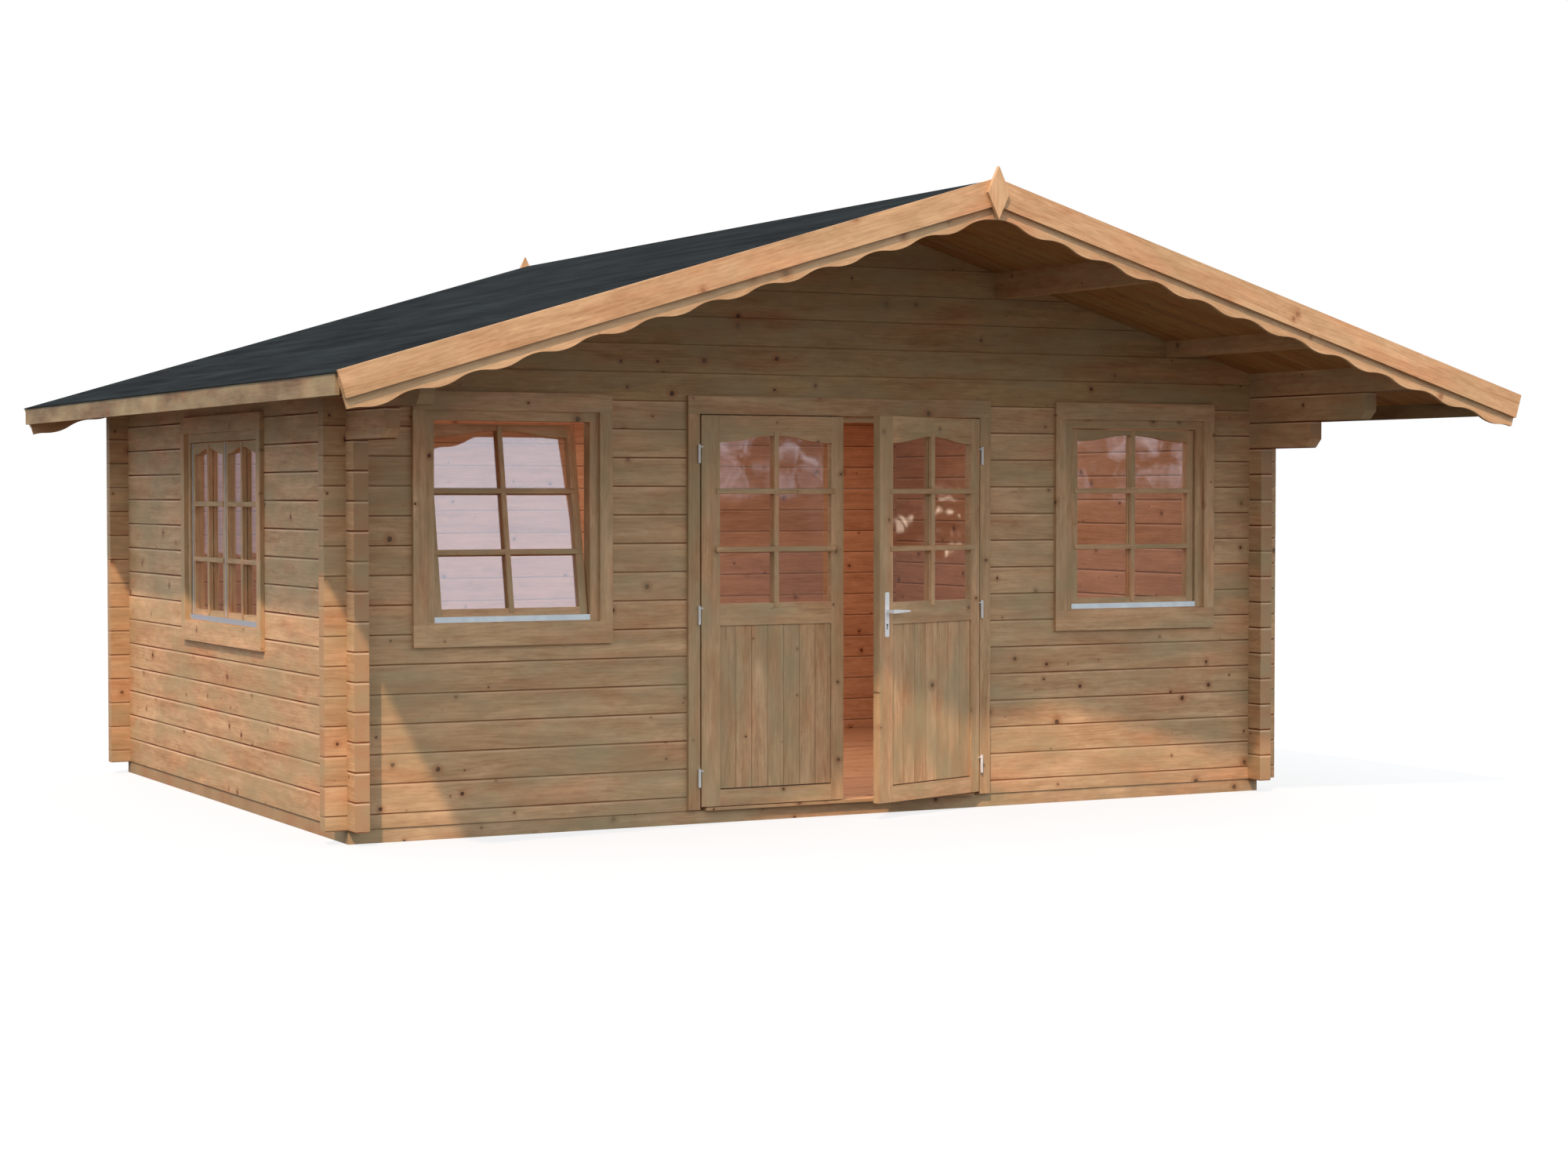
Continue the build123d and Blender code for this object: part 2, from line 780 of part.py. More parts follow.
with BuildPart() as door_threshold:
    span = jamb_inner - fit_gap
    low = base_height + fit_gap
    timber(front_face, (-span, span), (low, base_height + threshold_height), (-log_thickness, threshold_nose))
finish(door_threshold.part, "door_threshold")

# The two leaves, made closed in their own plane and then swung about their hinge lines
left_hinge = (-hinge_offset, -half_depth - hinge_proud, 0)
right_hinge = (hinge_offset, -half_depth - hinge_proud, 0)


def swung_face(hinge, angle):
    """The front wall plane turned about a hinge line by an angle seen from above."""
    turn = Location(hinge) * Location((0, 0, 0), (0, 0, angle)) * Location([-value for value in hinge])
    return Plane(turn * front_face.location)


left_leaf_face = swung_face(left_hinge, 0)
right_leaf_face = swung_face(right_hinge, right_leaf_ajar)
left_leaf_span = (-leaf_edge, -leaf_edge + leaf_width)
right_leaf_span = (leaf_edge - leaf_width, leaf_edge)


def leaf(place, span):
    """Two stiles, three rails and a boarded panel."""
    out = (leaf_proud - leaf_thickness, leaf_proud)
    inner = (span[0] + leaf_left_stile + fit_gap, span[1] - leaf_right_stile - fit_gap)
    timber(place, (span[0], span[0] + leaf_left_stile), (leaf_bottom, leaf_top), out)
    timber(place, (span[1] - leaf_right_stile, span[1]), (leaf_bottom, leaf_top), out)
    foot_top = leaf_bottom + leaf_foot_rail
    timber(place, inner, (leaf_bottom, foot_top), out)
    timber(place, inner, (leaf_panel_top, leaf_glass_bottom), out)
    middle = leaf_proud - leaf_thickness / 2
    panel_out = (middle - panel_thickness / 2, middle + panel_thickness / 2)
    timber(place, inner, (foot_top + fit_gap, leaf_panel_top - fit_gap), panel_out)
    arched_rail(place.offset(leaf_proud), inner, leaf_top, leaf_glass_side_top, leaf_thickness)


def leaf_pane(place, span):
    """The leaf's glass."""
    inner = (span[0] + leaf_left_stile + fit_gap, span[1] - leaf_right_stile - fit_gap)
    up = (leaf_glass_bottom + fit_gap, leaf_glass_side_top - fit_gap)
    arched_pane(place.offset(leaf_proud - leaf_thickness / 2), inner, up)


with BuildPart() as left_leaf:
    leaf(left_leaf_face, left_leaf_span)
finish(left_leaf.part, "left_leaf")

with BuildPart() as right_leaf:
    leaf(right_leaf_face, right_leaf_span)
finish(right_leaf.part, "right_leaf")

with BuildPart() as left_leaf_glass:
    leaf_pane(left_leaf_face, left_leaf_span)
finish(left_leaf_glass.part, "left_leaf_glass")

with BuildPart() as right_leaf_glass:
    leaf_pane(right_leaf_face, right_leaf_span)
finish(right_leaf_glass.part, "right_leaf_glass")

# Lift-off hinges: the lower half with its pin is on the casing, the upper half on the leaf


def knuckle(hinge, radius, low, high, mode=Mode.ADD):
    """One upright barrel or pin about a hinge line."""
    with BuildSketch(Plane(origin=(hinge[0], hinge[1], low))) as outline:
        RegularPolygon(radius, hinge_flats)
    extrude(outline.sketch, amount=high - low, mode=mode)


pin_length = hinge_half_height / 2
with BuildPart() as casing_hinge_halves:
    for hinge in (left_hinge, right_hinge):
        for level in hinge_levels:
            knuckle(hinge, hinge_radius, level - hinge_half_height - fit_gap, level - fit_gap)
            knuckle(hinge, hinge_pin_radius, level - fit_gap, level + pin_length)
            stud_length = hinge_proud - casing_thickness - fit_gap
            stud_y = hinge[1] + stud_length / 2
            with Locations([(hinge[0], stud_y, level - hinge_half_height / 2)]):
                Box(hinge_stud, stud_length, hinge_stud)
finish(casing_hinge_halves.part, "casing_hinge_halves")


def leaf_hinges(hinge, side, angle):
    """The upper halves of one leaf's hinges."""
    turn = Location(hinge) * Location((0, 0, 0), (0, 0, angle))
    stud_depth = hinge_proud - leaf_proud - fit_gap
    inner_end = hinge_offset - leaf_edge + hinge_stud_lap
    for level in hinge_levels:
        low = level + fit_gap
        knuckle(hinge, hinge_radius, low, low + hinge_half_height)
        with Locations(turn):
            with Locations([(-side * inner_end / 2, stud_depth / 2, low + hinge_half_height * 3 / 4)]):
                Box(inner_end, stud_depth, hinge_stud)
        bore = hinge_pin_radius + hinge_pin_play
        knuckle(hinge, bore, low, level + pin_length + fit_gap, mode=Mode.SUBTRACT)


with BuildPart() as left_leaf_hinges:
    leaf_hinges(left_hinge, -1, 0)
finish(left_leaf_hinges.part, "left_leaf_hinges")

with BuildPart() as right_leaf_hinges:
    leaf_hinges(right_hinge, 1, right_leaf_ajar)
finish(right_leaf_hinges.part, "right_leaf_hinges")

# Long plates on both faces of the leaf that opens first, with a lever on the outer one


def lever(place, across, level):
    """A neck out of the plate and a lever that tapers towards its tip."""
    timber(
        place,
        (across - lever_neck / 2, across + lever_neck / 2),
        (level - lever_neck / 2, level + lever_neck / 2),
        (0, lever_reach),
    )
    root = lever_root_height / 2
    tip = lever_tip_height / 2
    with BuildSketch(place.offset(lever_reach)) as outline:
        with BuildLine():
            Polyline(
                (across - lever_neck / 2, level - root),
                (across - lever_neck / 2, level + root),
                (across + lever_neck, level + root),
                (across + lever_length, level + tip),
                (across + lever_length, level - tip),
                (across + lever_neck, level - root),
                close=True,
            )
        make_face()
    extrude(outline.sketch, amount=-lever_thickness)


with BuildPart() as door_handle:
    plate_across = right_leaf_span[0] + handle_backset
    plate_middle = handle_plate_bottom + handle_plate_height / 2
    for face, outward in ((leaf_proud + fit_gap, 1), (leaf_proud - leaf_thickness - fit_gap, -1)):
        with BuildSketch(right_leaf_face.offset(face)) as plate:
            with Locations([(plate_across, plate_middle)]):
                Rectangle(handle_plate_width, handle_plate_height)
            chamfer(plate.vertices(), handle_plate_corner)
        extrude(plate.sketch, amount=outward * handle_plate_thickness)
    lever(right_leaf_face.offset(leaf_proud + fit_gap), plate_across, lever_height)
finish(door_handle.part, "door_handle")
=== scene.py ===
"""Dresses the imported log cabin: roof, floor and door boards, window bars, seals, fastenings and finishes.

Metres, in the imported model's own frame: the front looks along -Y, +X is to the right seen from the front,
+Z is up, and the origin is the middle of the footprint at ground level.
"""

from math import cos, radians, sin, tan

import bmesh
import bpy
from bpy.props import FloatProperty, FloatVectorProperty, IntProperty, PointerProperty
from mathutils import Matrix, Vector


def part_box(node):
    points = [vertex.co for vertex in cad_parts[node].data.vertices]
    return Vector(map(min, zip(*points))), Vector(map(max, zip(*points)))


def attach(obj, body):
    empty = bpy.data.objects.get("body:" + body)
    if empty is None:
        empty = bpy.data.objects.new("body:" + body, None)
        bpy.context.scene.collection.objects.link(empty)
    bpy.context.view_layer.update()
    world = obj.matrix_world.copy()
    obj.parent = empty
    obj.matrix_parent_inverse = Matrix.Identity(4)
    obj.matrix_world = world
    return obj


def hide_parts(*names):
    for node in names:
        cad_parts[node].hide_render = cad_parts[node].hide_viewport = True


bl_info = {
    "name": "Log cabin dressing",
    "version": (1, 0, 0),
    "blender": (4, 5, 0),
    "location": "View3D > Sidebar > Log cabin",
    "description": "Boards, window bars, seals, fastenings and timber finishes for a log cabin",
    "category": "Object",
}

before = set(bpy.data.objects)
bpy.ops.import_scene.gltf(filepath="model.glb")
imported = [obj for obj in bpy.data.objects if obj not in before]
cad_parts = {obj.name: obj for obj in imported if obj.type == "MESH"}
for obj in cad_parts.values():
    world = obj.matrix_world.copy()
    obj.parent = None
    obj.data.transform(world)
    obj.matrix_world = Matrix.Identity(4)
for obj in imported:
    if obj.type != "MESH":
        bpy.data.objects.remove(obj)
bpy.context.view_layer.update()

# Sizes that the solids keep, read from their boxes
WALL = Vector((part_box("right_wall")[1].x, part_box("back_wall")[1].y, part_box("left_wall")[0].z))
LOG_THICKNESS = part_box("right_wall")[1].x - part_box("right_wall")[0].x
COURSE_PITCH = 0.135
FRONT_COURSE_START = WALL.z + COURSE_PITCH / 2
ROOF_ANGLE = radians(16.63)
SASH_TILT = radians(10.0)
RIGHT_LEAF_AJAR = radians(20.0)
RIGHT_HINGE = Vector((0.790, -1.935, 0.0))
GLASS_HALF = 0.002
# Timber within these distances of the middle is inside the room
ROOM_HALF_WIDTH, ROOM_HALF_DEPTH = 2.4712, 1.8362


class CabinBoards(bpy.types.PropertyGroup):
    """Sizes of the boards that the solids show as plain sheets."""

    roof_board_width: FloatProperty(
        name="Roof board width", description="Width that each roof board covers",
        default=0.096, min=0.04, unit="LENGTH",
    )
    floor_board_width: FloatProperty(
        name="Floor board width", description="Width that each floor board covers",
        default=0.0896, min=0.04, unit="LENGTH",
    )
    panel_boards: IntProperty(
        name="Panel boards", description="Number of upright boards in a door's lower panel", default=7, min=3,
    )
    cladding: FloatProperty(
        name="Panel board relief", description="How far a panel board stands in front of the panel",
        default=0.003, min=0.001, unit="LENGTH",
    )
    groove: FloatProperty(
        name="Joint groove", description="Width and depth of the bevel along a board's edge",
        default=0.003, min=0.0005, unit="LENGTH",
    )
    # A painted shadow line: a dark band along the foot of a door panel, for the shade in the recess above the rail
    foot_line: FloatProperty(
        name="Foot shadow", description="Height of the dark line along the foot of a panel",
        default=0.006, min=0.0, unit="LENGTH",
    )
    joint: FloatProperty(
        name="Joint width", description="Open width between two boards", default=0.0008, min=0.0, unit="LENGTH",
    )
    play: FloatProperty(
        name="Joint play", description="How far a board may sit off its place along the row",
        default=0.0003, min=0.0, unit="LENGTH",
    )


class CabinBars(bpy.types.PropertyGroup):
    """Sizes of the glazing bars, which are planted on the sashes' faces."""

    cross_width: FloatProperty(
        name="Cross bar width", description="Height of a level bar's face", default=0.026, min=0.01, unit="LENGTH",
    )
    upright_width: FloatProperty(
        name="Upright bar width", description="Width of an upright bar's face",
        default=0.026, min=0.01, unit="LENGTH",
    )
    stand: FloatProperty(
        name="Bar relief", description="How far a bar stands in front of the sash",
        default=0.006, min=0.001, unit="LENGTH",
    )
    lap: FloatProperty(
        name="Bar lap", description="How far a bar's ends run over the sash", default=0.020, min=0.0, unit="LENGTH",
    )
    ease: FloatProperty(
        name="Bar bevel", description="Bevel along a bar's front edges", default=0.003, min=0.0005, unit="LENGTH",
    )
    seal_width: FloatProperty(
        name="Seal width", description="Width of the grey seal at a side sash's far edge",
        default=0.008, min=0.002, unit="LENGTH",
    )


class CabinFinish(bpy.types.PropertyGroup):
    """Colours of the finishes."""

    pale_pine: FloatVectorProperty(
        name="Pale pine", description="Early wood of the stained pine", subtype="COLOR", size=3,
        default=(0.745, 0.487, 0.270),
    )
    dark_pine: FloatVectorProperty(
        name="Dark pine", description="Late wood of the stained pine", subtype="COLOR", size=3,
        default=(0.400, 0.220, 0.099),
    )
    knot: FloatVectorProperty(
        name="Knot", description="Heart of a knot", subtype="COLOR", size=3, default=(0.085, 0.032, 0.014),
    )
    weathered: FloatVectorProperty(
        name="Weathered patches", description="Green-grey tone of weathered patches", subtype="COLOR", size=3,
        default=(0.385, 0.305, 0.162),
    )
    # A painted reddish tint over the timber inside, for the warm light in the room
    inner_light_tint: FloatVectorProperty(
        name="Inner stain", description="Reddish tint over the timber inside", subtype="COLOR", size=3,
        default=(0.990, 0.800, 0.775),
    )
    felt: FloatVectorProperty(
        name="Roofing felt", description="Main colour of the felt", subtype="COLOR", size=3,
        default=(0.0050, 0.0079, 0.0084),
    )


# Small tools for meshes


def as_object(name, source, materials):
    """An object in the scene from a bmesh, which is freed."""
    mesh = bpy.data.meshes.new(name)
    source.to_mesh(mesh)
    source.free()
    for material in materials:
        mesh.materials.append(material)
    made = bpy.data.objects.new(name, mesh)
    bpy.context.scene.collection.objects.link(made)
    return made


def new_piece(name, builder, *materials):
    """A mesh object made by a function that fills a bmesh."""
    source = bmesh.new()
    builder(source)
    bmesh.ops.recalc_face_normals(source, faces=source.faces)
    return as_object(name, source, materials)


def join(name, pieces):
    """One object from several, under a new name."""
    source = bmesh.new()
    materials = pieces[0].data.materials[:]
    for piece in pieces:
        source.from_mesh(piece.data)
        bpy.data.objects.remove(piece)
    return as_object(name, source, materials)


def prism(bm, outline, run):
    """A solid with an outline of points, drawn out along a vector."""
    near = [bm.verts.new(point) for point in outline]
    far = [bm.verts.new(Vector(point) + run) for point in outline]
    bm.faces.new(near)
    bm.faces.new(list(reversed(far)))
    for index, low in enumerate(near):
        after = (index + 1) % len(near)
        bm.faces.new((low, near[after], far[after], far[index]))


def eased(half, back, front, ease):
    """Section of a board as (across, out), with a bevel along both edges of its front."""
    step = ease if front > back else -ease
    bevel = [(half - ease, front), (ease - half, front)] if ease else []
    return [(-half, back), (half, back), (half, front - step), *bevel, (-half, front - step)]


def bar(bm, place, start, end, width, back, front, ease=0.0):
    """A straight bar between two points of a plane, from one depth to another, bevelled in front."""
    start, end = Vector(start), Vector(end)
    along = (end - start).normalized()
    side = Vector((-along.y, along.x))
    section = eased(width / 2, back, front, ease)
    outline = [place @ Vector((*(start + side * across), out)) for across, out in section]
    prism(bm, outline, place.to_3x3() @ Vector((*(end - start), 0)))


def plane(origin, across, up):
    """A matrix from (across, up, out) to the cabin's own directions."""
    across, up = Vector(across), Vector(up)
    out = across.cross(up)
    turn = Matrix((across, up, out)).transposed().to_4x4()
    return Matrix.Translation(origin) @ turn


def front_plane(x, y):
    """A plane along the front that faces outwards."""
    return plane((x, y, 0), (1, 0, 0), (0, 0, 1))


def about(point, turn):
    """A turn about a point."""
    return Matrix.Translation(point) @ turn @ Matrix.Translation(-point)


def middle(node):
    """Middle of a solid's box, across the front."""
    low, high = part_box(node)
    return (low.x + high.x) / 2


# Planes of the sashes and leaves: across, up and outwards from the face
SASH_THICKNESS = 0.042
FRONT_SASH_FACE = -WALL.y + 0.014
SASH_PIVOT = Vector((0.0, FRONT_SASH_FACE + SASH_THICKNESS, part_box("right_window_sash")[0].z))
LEAF_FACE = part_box("left_leaf")[0].y
LEAF_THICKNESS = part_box("left_leaf")[1].y - LEAF_FACE


def front_sash_plane(side):
    """The outer face of a front sash. The left one is tilted inwards about its foot."""
    place = front_plane(side * middle("right_window_sash"), FRONT_SASH_FACE)
    if side < 0:
        place = about(SASH_PIVOT, Matrix.Rotation(-SASH_TILT, 4, "X")) @ place
    return place


def side_sash_plane(centre):
    """The outer face of one of the side window's sashes."""
    return plane((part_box("side_window_sashes")[0].x, centre, 0), (0, -1, 0), (0, 0, 1))


def leaf_plane(turn):
    """The outer face of a door leaf, turned about the right hinge's line."""
    return about(RIGHT_HINGE, Matrix.Rotation(turn, 4, "Z")) @ front_plane(0, LEAF_FACE)


def turned_over(place):
    """The same plane seen from its back, with its out direction reversed."""
    return place @ Matrix.Rotation(radians(180), 4, "Y")


# Geometry Nodes: copies of one piece in a row


def row_tree():
    """The tree that lays copies of its own mesh in a row, each a little off its place."""
    name = "Row of pieces"
    if name in bpy.data.node_groups:
        return bpy.data.node_groups[name]
    tree = bpy.data.node_groups.new(name, "GeometryNodeTree")
    sockets = (
        ("Geometry", "Geometry"), ("Count", "Int"), ("Step", "Vector"), ("Play", "Vector"), ("Seed", "Int"),
        ("Material", "Material"),
    )
    for label, kind in sockets:
        tree.interface.new_socket(label, in_out="INPUT", socket_type=f"NodeSocket{kind}")
    tree.interface.new_socket("Geometry", in_out="OUTPUT", socket_type="NodeSocketGeometry")
    given = tree.nodes.new("NodeGroupInput").outputs
    line = put(tree, "GeometryNodeMeshLine", {"Count": given["Count"], "Offset": given["Step"]}, mode="OFFSET")
    back = put(tree, "ShaderNodeVectorMath", {0: given["Play"], "Scale": -1.0}, operation="SCALE")
    play = {"Min": back.outputs["Vector"], "Max": given["Play"], "Seed": given["Seed"]}
    drift = put(tree, "FunctionNodeRandomValue", play, data_type="FLOAT_VECTOR")
    moved = put(tree, "GeometryNodeSetPosition", {0: line.outputs["Mesh"], "Offset": drift.outputs["Value"]})
    spread = {"Points": moved.outputs["Geometry"], "Instance": given["Geometry"]}
    copies = put(tree, "GeometryNodeInstanceOnPoints", spread)
    real = put(tree, "GeometryNodeRealizeInstances", {0: copies.outputs["Instances"]})
    dressed = {"Geometry": real.outputs["Geometry"], "Material": given["Material"]}
    finish = put(tree, "GeometryNodeSetMaterial", dressed)
    put(tree, "NodeGroupOutput", {"Geometry": finish.outputs["Geometry"]})
    return tree


def lay_row(piece, count, step, play=(0, 0, 0), seed=0, material=None):
    """Replace a piece by a row of copies of it, made by the tree and kept as a plain mesh."""
    tree = row_tree()
    modifier = piece.modifiers.new("Row", "NODES")
    modifier.node_group = tree
    values = {"Count": count, "Step": step, "Play": play, "Seed": seed, "Material": material}
    for item in tree.interface.items_tree:
        if item.in_out == "INPUT" and item.name in values:
            modifier[item.identifier] = values[item.name]
    graph = bpy.context.evaluated_depsgraph_get()
    mesh = bpy.data.meshes.new_from_object(piece.evaluated_get(graph), depsgraph=graph)
    piece.modifiers.clear()
    piece.data = mesh
    if not mesh.vertices:
        raise RuntimeError(f"{piece.name} has no pieces in its row")


# Small tools for shaders


def put(tree, kind, inputs=None, **settings):
    """Add a node. Its inputs are plain values or other nodes' outputs."""
    node = tree.nodes.new(kind)
    for name, value in settings.items():
        setattr(node, name, value)
    for key, value in (inputs or {}).items():
        if isinstance(value, bpy.types.NodeSocket):
            tree.links.new(value, node.inputs[key])
        else:
            node.inputs[key].default_value = value
    return node


def sums(tree, operation, first, second=0.0, third=0.0, clamp=False):
    """The result of one Math node."""
    inputs = {0: first, 1: second, 2: third}
    return put(tree, "ShaderNodeMath", inputs, operation=operation, use_clamp=clamp).outputs[0]


def times(tree, first, *others):
    """The product of some values."""
    for other in others:
        first = sums(tree, "MULTIPLY", first, other)
    return first


def weigh(tree, value, weight, total):
    """A value times its weight, added to a total."""
    return sums(tree, "MULTIPLY_ADD", value, weight, total)


def split(tree, place):
    """The three parts of a place or a colour."""
    return put(tree, "ShaderNodeSeparateXYZ", {0: place}).outputs[:3]


def combine(tree, *parts):
    """A place from its three parts."""
    return put(tree, "ShaderNodeCombineXYZ", dict(enumerate(parts))).outputs[0]


def blend(tree, mask, under, over, mode="MIX"):
    """One colour over another by a mask."""
    inputs = {"Factor": mask, 6: under, 7: over}
    return put(tree, "ShaderNodeMix", inputs, data_type="RGBA", blend_type=mode).outputs[2]


def remap(tree, value, low, high, to_low=0.0, to_high=1.0):
    """A value moved from one range to another and held inside it."""
    inputs = {"Value": value, 1: low, 2: high, 3: to_low, 4: to_high}
    return put(tree, "ShaderNodeMapRange", inputs).outputs[0]


def noise(tree, place, scale, detail=3.0, roughness=0.5, distortion=0.0):
    """The value of a noise texture."""
    inputs = {"Vector": place, "Scale": scale, "Detail": detail, "Roughness": roughness, "Distortion": distortion}
    return put(tree, "ShaderNodeTexNoise", inputs).outputs["Fac"]


def streaks(tree, place, scales, *settings):
    """Noise with a scale for each direction."""
    scaled = put(tree, "ShaderNodeVectorMath", {0: place, 1: scales}, operation="MULTIPLY").outputs[0]
    return noise(tree, scaled, 1.0, *settings)


def group(name, inputs, outputs):
    """A new shader group with its sockets, given as the names of each kind. Its user sets every input."""
    tree = bpy.data.node_groups.new(name, "ShaderNodeTree")
    for way, sockets in (("INPUT", inputs), ("OUTPUT", outputs)):
        for kind, labels in sockets.items():
            for label in labels:
                tree.interface.new_socket(label, in_out=way, socket_type=f"NodeSocket{kind}")
    return tree, tree.nodes.new("NodeGroupInput").outputs, tree.nodes.new("NodeGroupOutput").inputs


# Cells a metre that may hold a knot, and the smallest knot's radius
KNOT_CELLS = 5.0
LEAST_KNOT = 0.0005


def knotty_pine():
    """Group: stained pine with growth rings, fine fibres, knots, end grain, joint lines that carry some painted
    shade, and a painted highlight along each course's upper edge.
    """
    name = "Knotty pine"
    if name in bpy.data.node_groups:
        return bpy.data.node_groups[name]
    tree, given, result = group(
        name,
        {
            "Vector": ["Place"], "Color": ["Pale", "Dark", "Knot"],
            "Float": ["Board width", "First joint", "Number", "End", "Knots", "Joint line", "Knot depth"],
        },
        {"Color": ["Colour"], "Float": ["Roughness", "Height"]},
    )
    along, across, sawn = split(tree, given["Place"])
    row = sums(tree, "DIVIDE", sums(tree, "SUBTRACT", across, given["First joint"]), given["Board width"])
    number = sums(tree, "ADD", sums(tree, "FLOOR", row), given["Number"])
    chance = put(tree, "ShaderNodeTexWhiteNoise", {"W": number}, noise_dimensions="1D").outputs
    lots = split(tree, chance["Color"])
    along = weigh(tree, lots[0], 37.0, along)
    depth = weigh(tree, lots[1], 3.0, sawn)
    place = combine(tree, along, across, depth)

    # Knots: a round spot in a random place of most cells, with a reddish halo
    flat = combine(tree, along, across, lots[2])
    waver = times(tree, sums(tree, "SUBTRACT", noise(tree, place, 55.0, 3.0, 0.6), 0.5), 0.014)
    cells = put(tree, "ShaderNodeTexVoronoi", {"Vector": flat, "Scale": KNOT_CELLS}, voronoi_dimensions="2D").outputs
    lot = split(tree, cells["Color"])
    away = sums(tree, "ADD", sums(tree, "DIVIDE", cells["Distance"], KNOT_CELLS), waver)
    size = remap(tree, sums(tree, "POWER", lot[0], 1.7), 0.07, 1.0, 0.0, 0.0128)
    size = times(tree, size, given["Knots"])
    there = sums(tree, "GREATER_THAN", size, LEAST_KNOT)
    past = sums(tree, "SUBTRACT", away, size)
    heart = times(tree, remap(tree, past, -0.0004, 0.0010, 1.0, 0.0), there)
    past = sums(tree, "SUBTRACT", away, times(tree, size, 3.0))
    halo = times(tree, remap(tree, past, -0.018, 0.004, 1.0, 0.0), there)

    # Growth rings: long arches that bend round the knots
    slow = streaks(tree, place, (1.5, 7.0, 7.0), 3.0)
    bent = weigh(tree, halo, 0.010, across)
    bent = weigh(tree, slow, 0.130, bent)
    rings = remap(tree, sums(tree, "SINE", times(tree, bent, 330.0)), -0.2, 1.0)

    # Fibres, streaks and mottling over the rings, and a lean towards pale or dark in each board
    fibres = streaks(tree, place, (4.0, 210.0, 210.0), 4.0, 0.65)
    fine = streaks(tree, place, (1.3, 34.0, 34.0), 4.0, 0.6)
    broad = streaks(tree, place, (1.8, 13.0, 13.0), 3.0, 0.6, 0.6)
    mottle = streaks(tree, place, (10.0, 36.0, 36.0), 4.0, 0.65, 0.4)
    tone = sums(tree, "SUBTRACT", weigh(tree, rings, 0.12, times(tree, fibres, 0.42)), 1.10)
    for part, weight in ((fine, 0.62), (mottle, 1.00), (broad, 1.15)):
        tone = weigh(tree, part, weight, tone)
    lean = times(tree, sums(tree, "SUBTRACT", lots[1], 0.5), 0.30)
    tone = sums(tree, "ADD", tone, lean, clamp=True)
    colour = blend(tree, tone, given["Pale"], given["Dark"])
    colour = blend(tree, times(tree, halo, 0.60), colour, (0.36, 0.150, 0.058, 1.0))
    colour = blend(tree, times(tree, heart, given["Knot depth"]), colour, given["Knot"])

    # End grain: rings round the heart, darker than the faces
    off = times(tree, sums(tree, "SUBTRACT", sums(tree, "FRACT", row), 0.42), given["Board width"])
    radius = sums(tree, "SQRT", weigh(tree, off, off, times(tree, sawn, sawn)))
    circles = sums(tree, "SINE", weigh(tree, radius, 1500.0, times(tree, slow, 9.0)))
    ends = blend(tree, remap(tree, circles, -1.0, 1.0, 0.35, 0.8), given["Pale"], given["Dark"])
    ends = blend(tree, 0.25, ends, (0.20, 0.10, 0.045, 1.0))
    colour = blend(tree, given["End"], colour, ends)

    # Joints between the courses: a reddish line for the dark joint, partly painted shade in the groove
    to_joint = times(tree, sums(tree, "PINGPONG", row, 0.5), given["Board width"])
    line = times(tree, remap(tree, to_joint, 0.0014, 0.0058, 1.0, 0.0), given["Joint line"])
    colour = blend(tree, line, colour, (0.200, 0.055, 0.008, 1.0))

    # A painted highlight: a paler line along each course's upper edge, where the sun catches the chamfer
    up = sums(tree, "FRACT", row)
    edge = times(tree, remap(tree, up, 0.965, 0.982, 1.0, 0.0), remap(tree, up, 0.900, 0.930))
    edge = times(tree, edge, given["Joint line"], 0.31)
    colour = blend(tree, edge, colour, (1.00, 0.74, 0.48, 1.0))
    tree.links.new(colour, result["Colour"])
    rough = remap(tree, fibres, 0.2, 0.8, 0.52, 0.70)
    rough = weigh(tree, heart, -0.14, rough)
    tree.links.new(rough, result["Roughness"])
    height = weigh(tree, rings, 0.35, times(tree, fibres, 0.65))
    height = weigh(tree, heart, 0.6, height)
    tree.links.new(height, result["Height"])
    return tree


def wear_and_room_light():
    """Group: weathered patches outside, a painted reddish tint inside for the warm light in the room, and dirt near
    the ground.
    """
    name = "Outdoor wear"
    if name in bpy.data.node_groups:
        return bpy.data.node_groups[name]
    tree, given, result = group(
        name,
        {
            "Vector": ["Position", "Place"], "Color": ["Colour", "Weathered", "Inner stain"],
            "Float": ["Wear", "Inside", "Flush"],
        },
        {"Color": ["Colour"]},
    )
    x, y, z = split(tree, given["Position"])
    patch = streaks(tree, given["Place"], (1.9, 5.2, 4.0), 3.0, 0.55)
    patch = remap(tree, patch, 0.42, 0.64, 0.0, 0.62)
    grey = blend(tree, times(tree, patch, given["Wear"]), given["Colour"], given["Weathered"])
    moved = put(tree, "ShaderNodeVectorMath", {0: given["Place"], 1: (7.3, 2.1, 5.9)}, operation="ADD").outputs[0]
    flush = streaks(tree, moved, (2.6, 9.0, 6.0), 3.0, 0.5)
    flush = times(tree, remap(tree, flush, 0.47, 0.68, 0.0, 0.65), given["Flush"])
    red = blend(tree, flush, grey, (1.00, 0.79, 0.72, 1.0), "MULTIPLY")
    soil = noise(tree, given["Position"], 7.0, 4.0, 0.6)
    low = times(tree, remap(tree, z, 0.0, 0.20, 0.30, 0.0), remap(tree, soil, 0.3, 0.7))
    outside = blend(tree, low, red, (0.150, 0.105, 0.065, 1.0))
    inner = [
        sums(tree, "LESS_THAN", sums(tree, "ABSOLUTE", part), half)
        for part, half in ((x, ROOM_HALF_WIDTH), (y, ROOM_HALF_DEPTH))
    ]
    within = times(tree, *inner, given["Inside"])
    # Inside: the painted reddish tint for the warm light in the room
    stained = blend(tree, 1.0, given["Colour"], given["Inner stain"], "MULTIPLY")
    tree.links.new(blend(tree, within, outside, stained), result["Colour"])
    return tree


def new_material(name, **values):
    """A material with a Principled BSDF, whose plain values go on its own sockets."""
    made = bpy.data.materials.new(name)
    made.use_nodes = True
    shader = made.node_tree.nodes["Principled BSDF"]
    for label, value in values.items():
        shader.inputs[label.replace("_", " ")].default_value = value
    return made, made.node_tree, shader


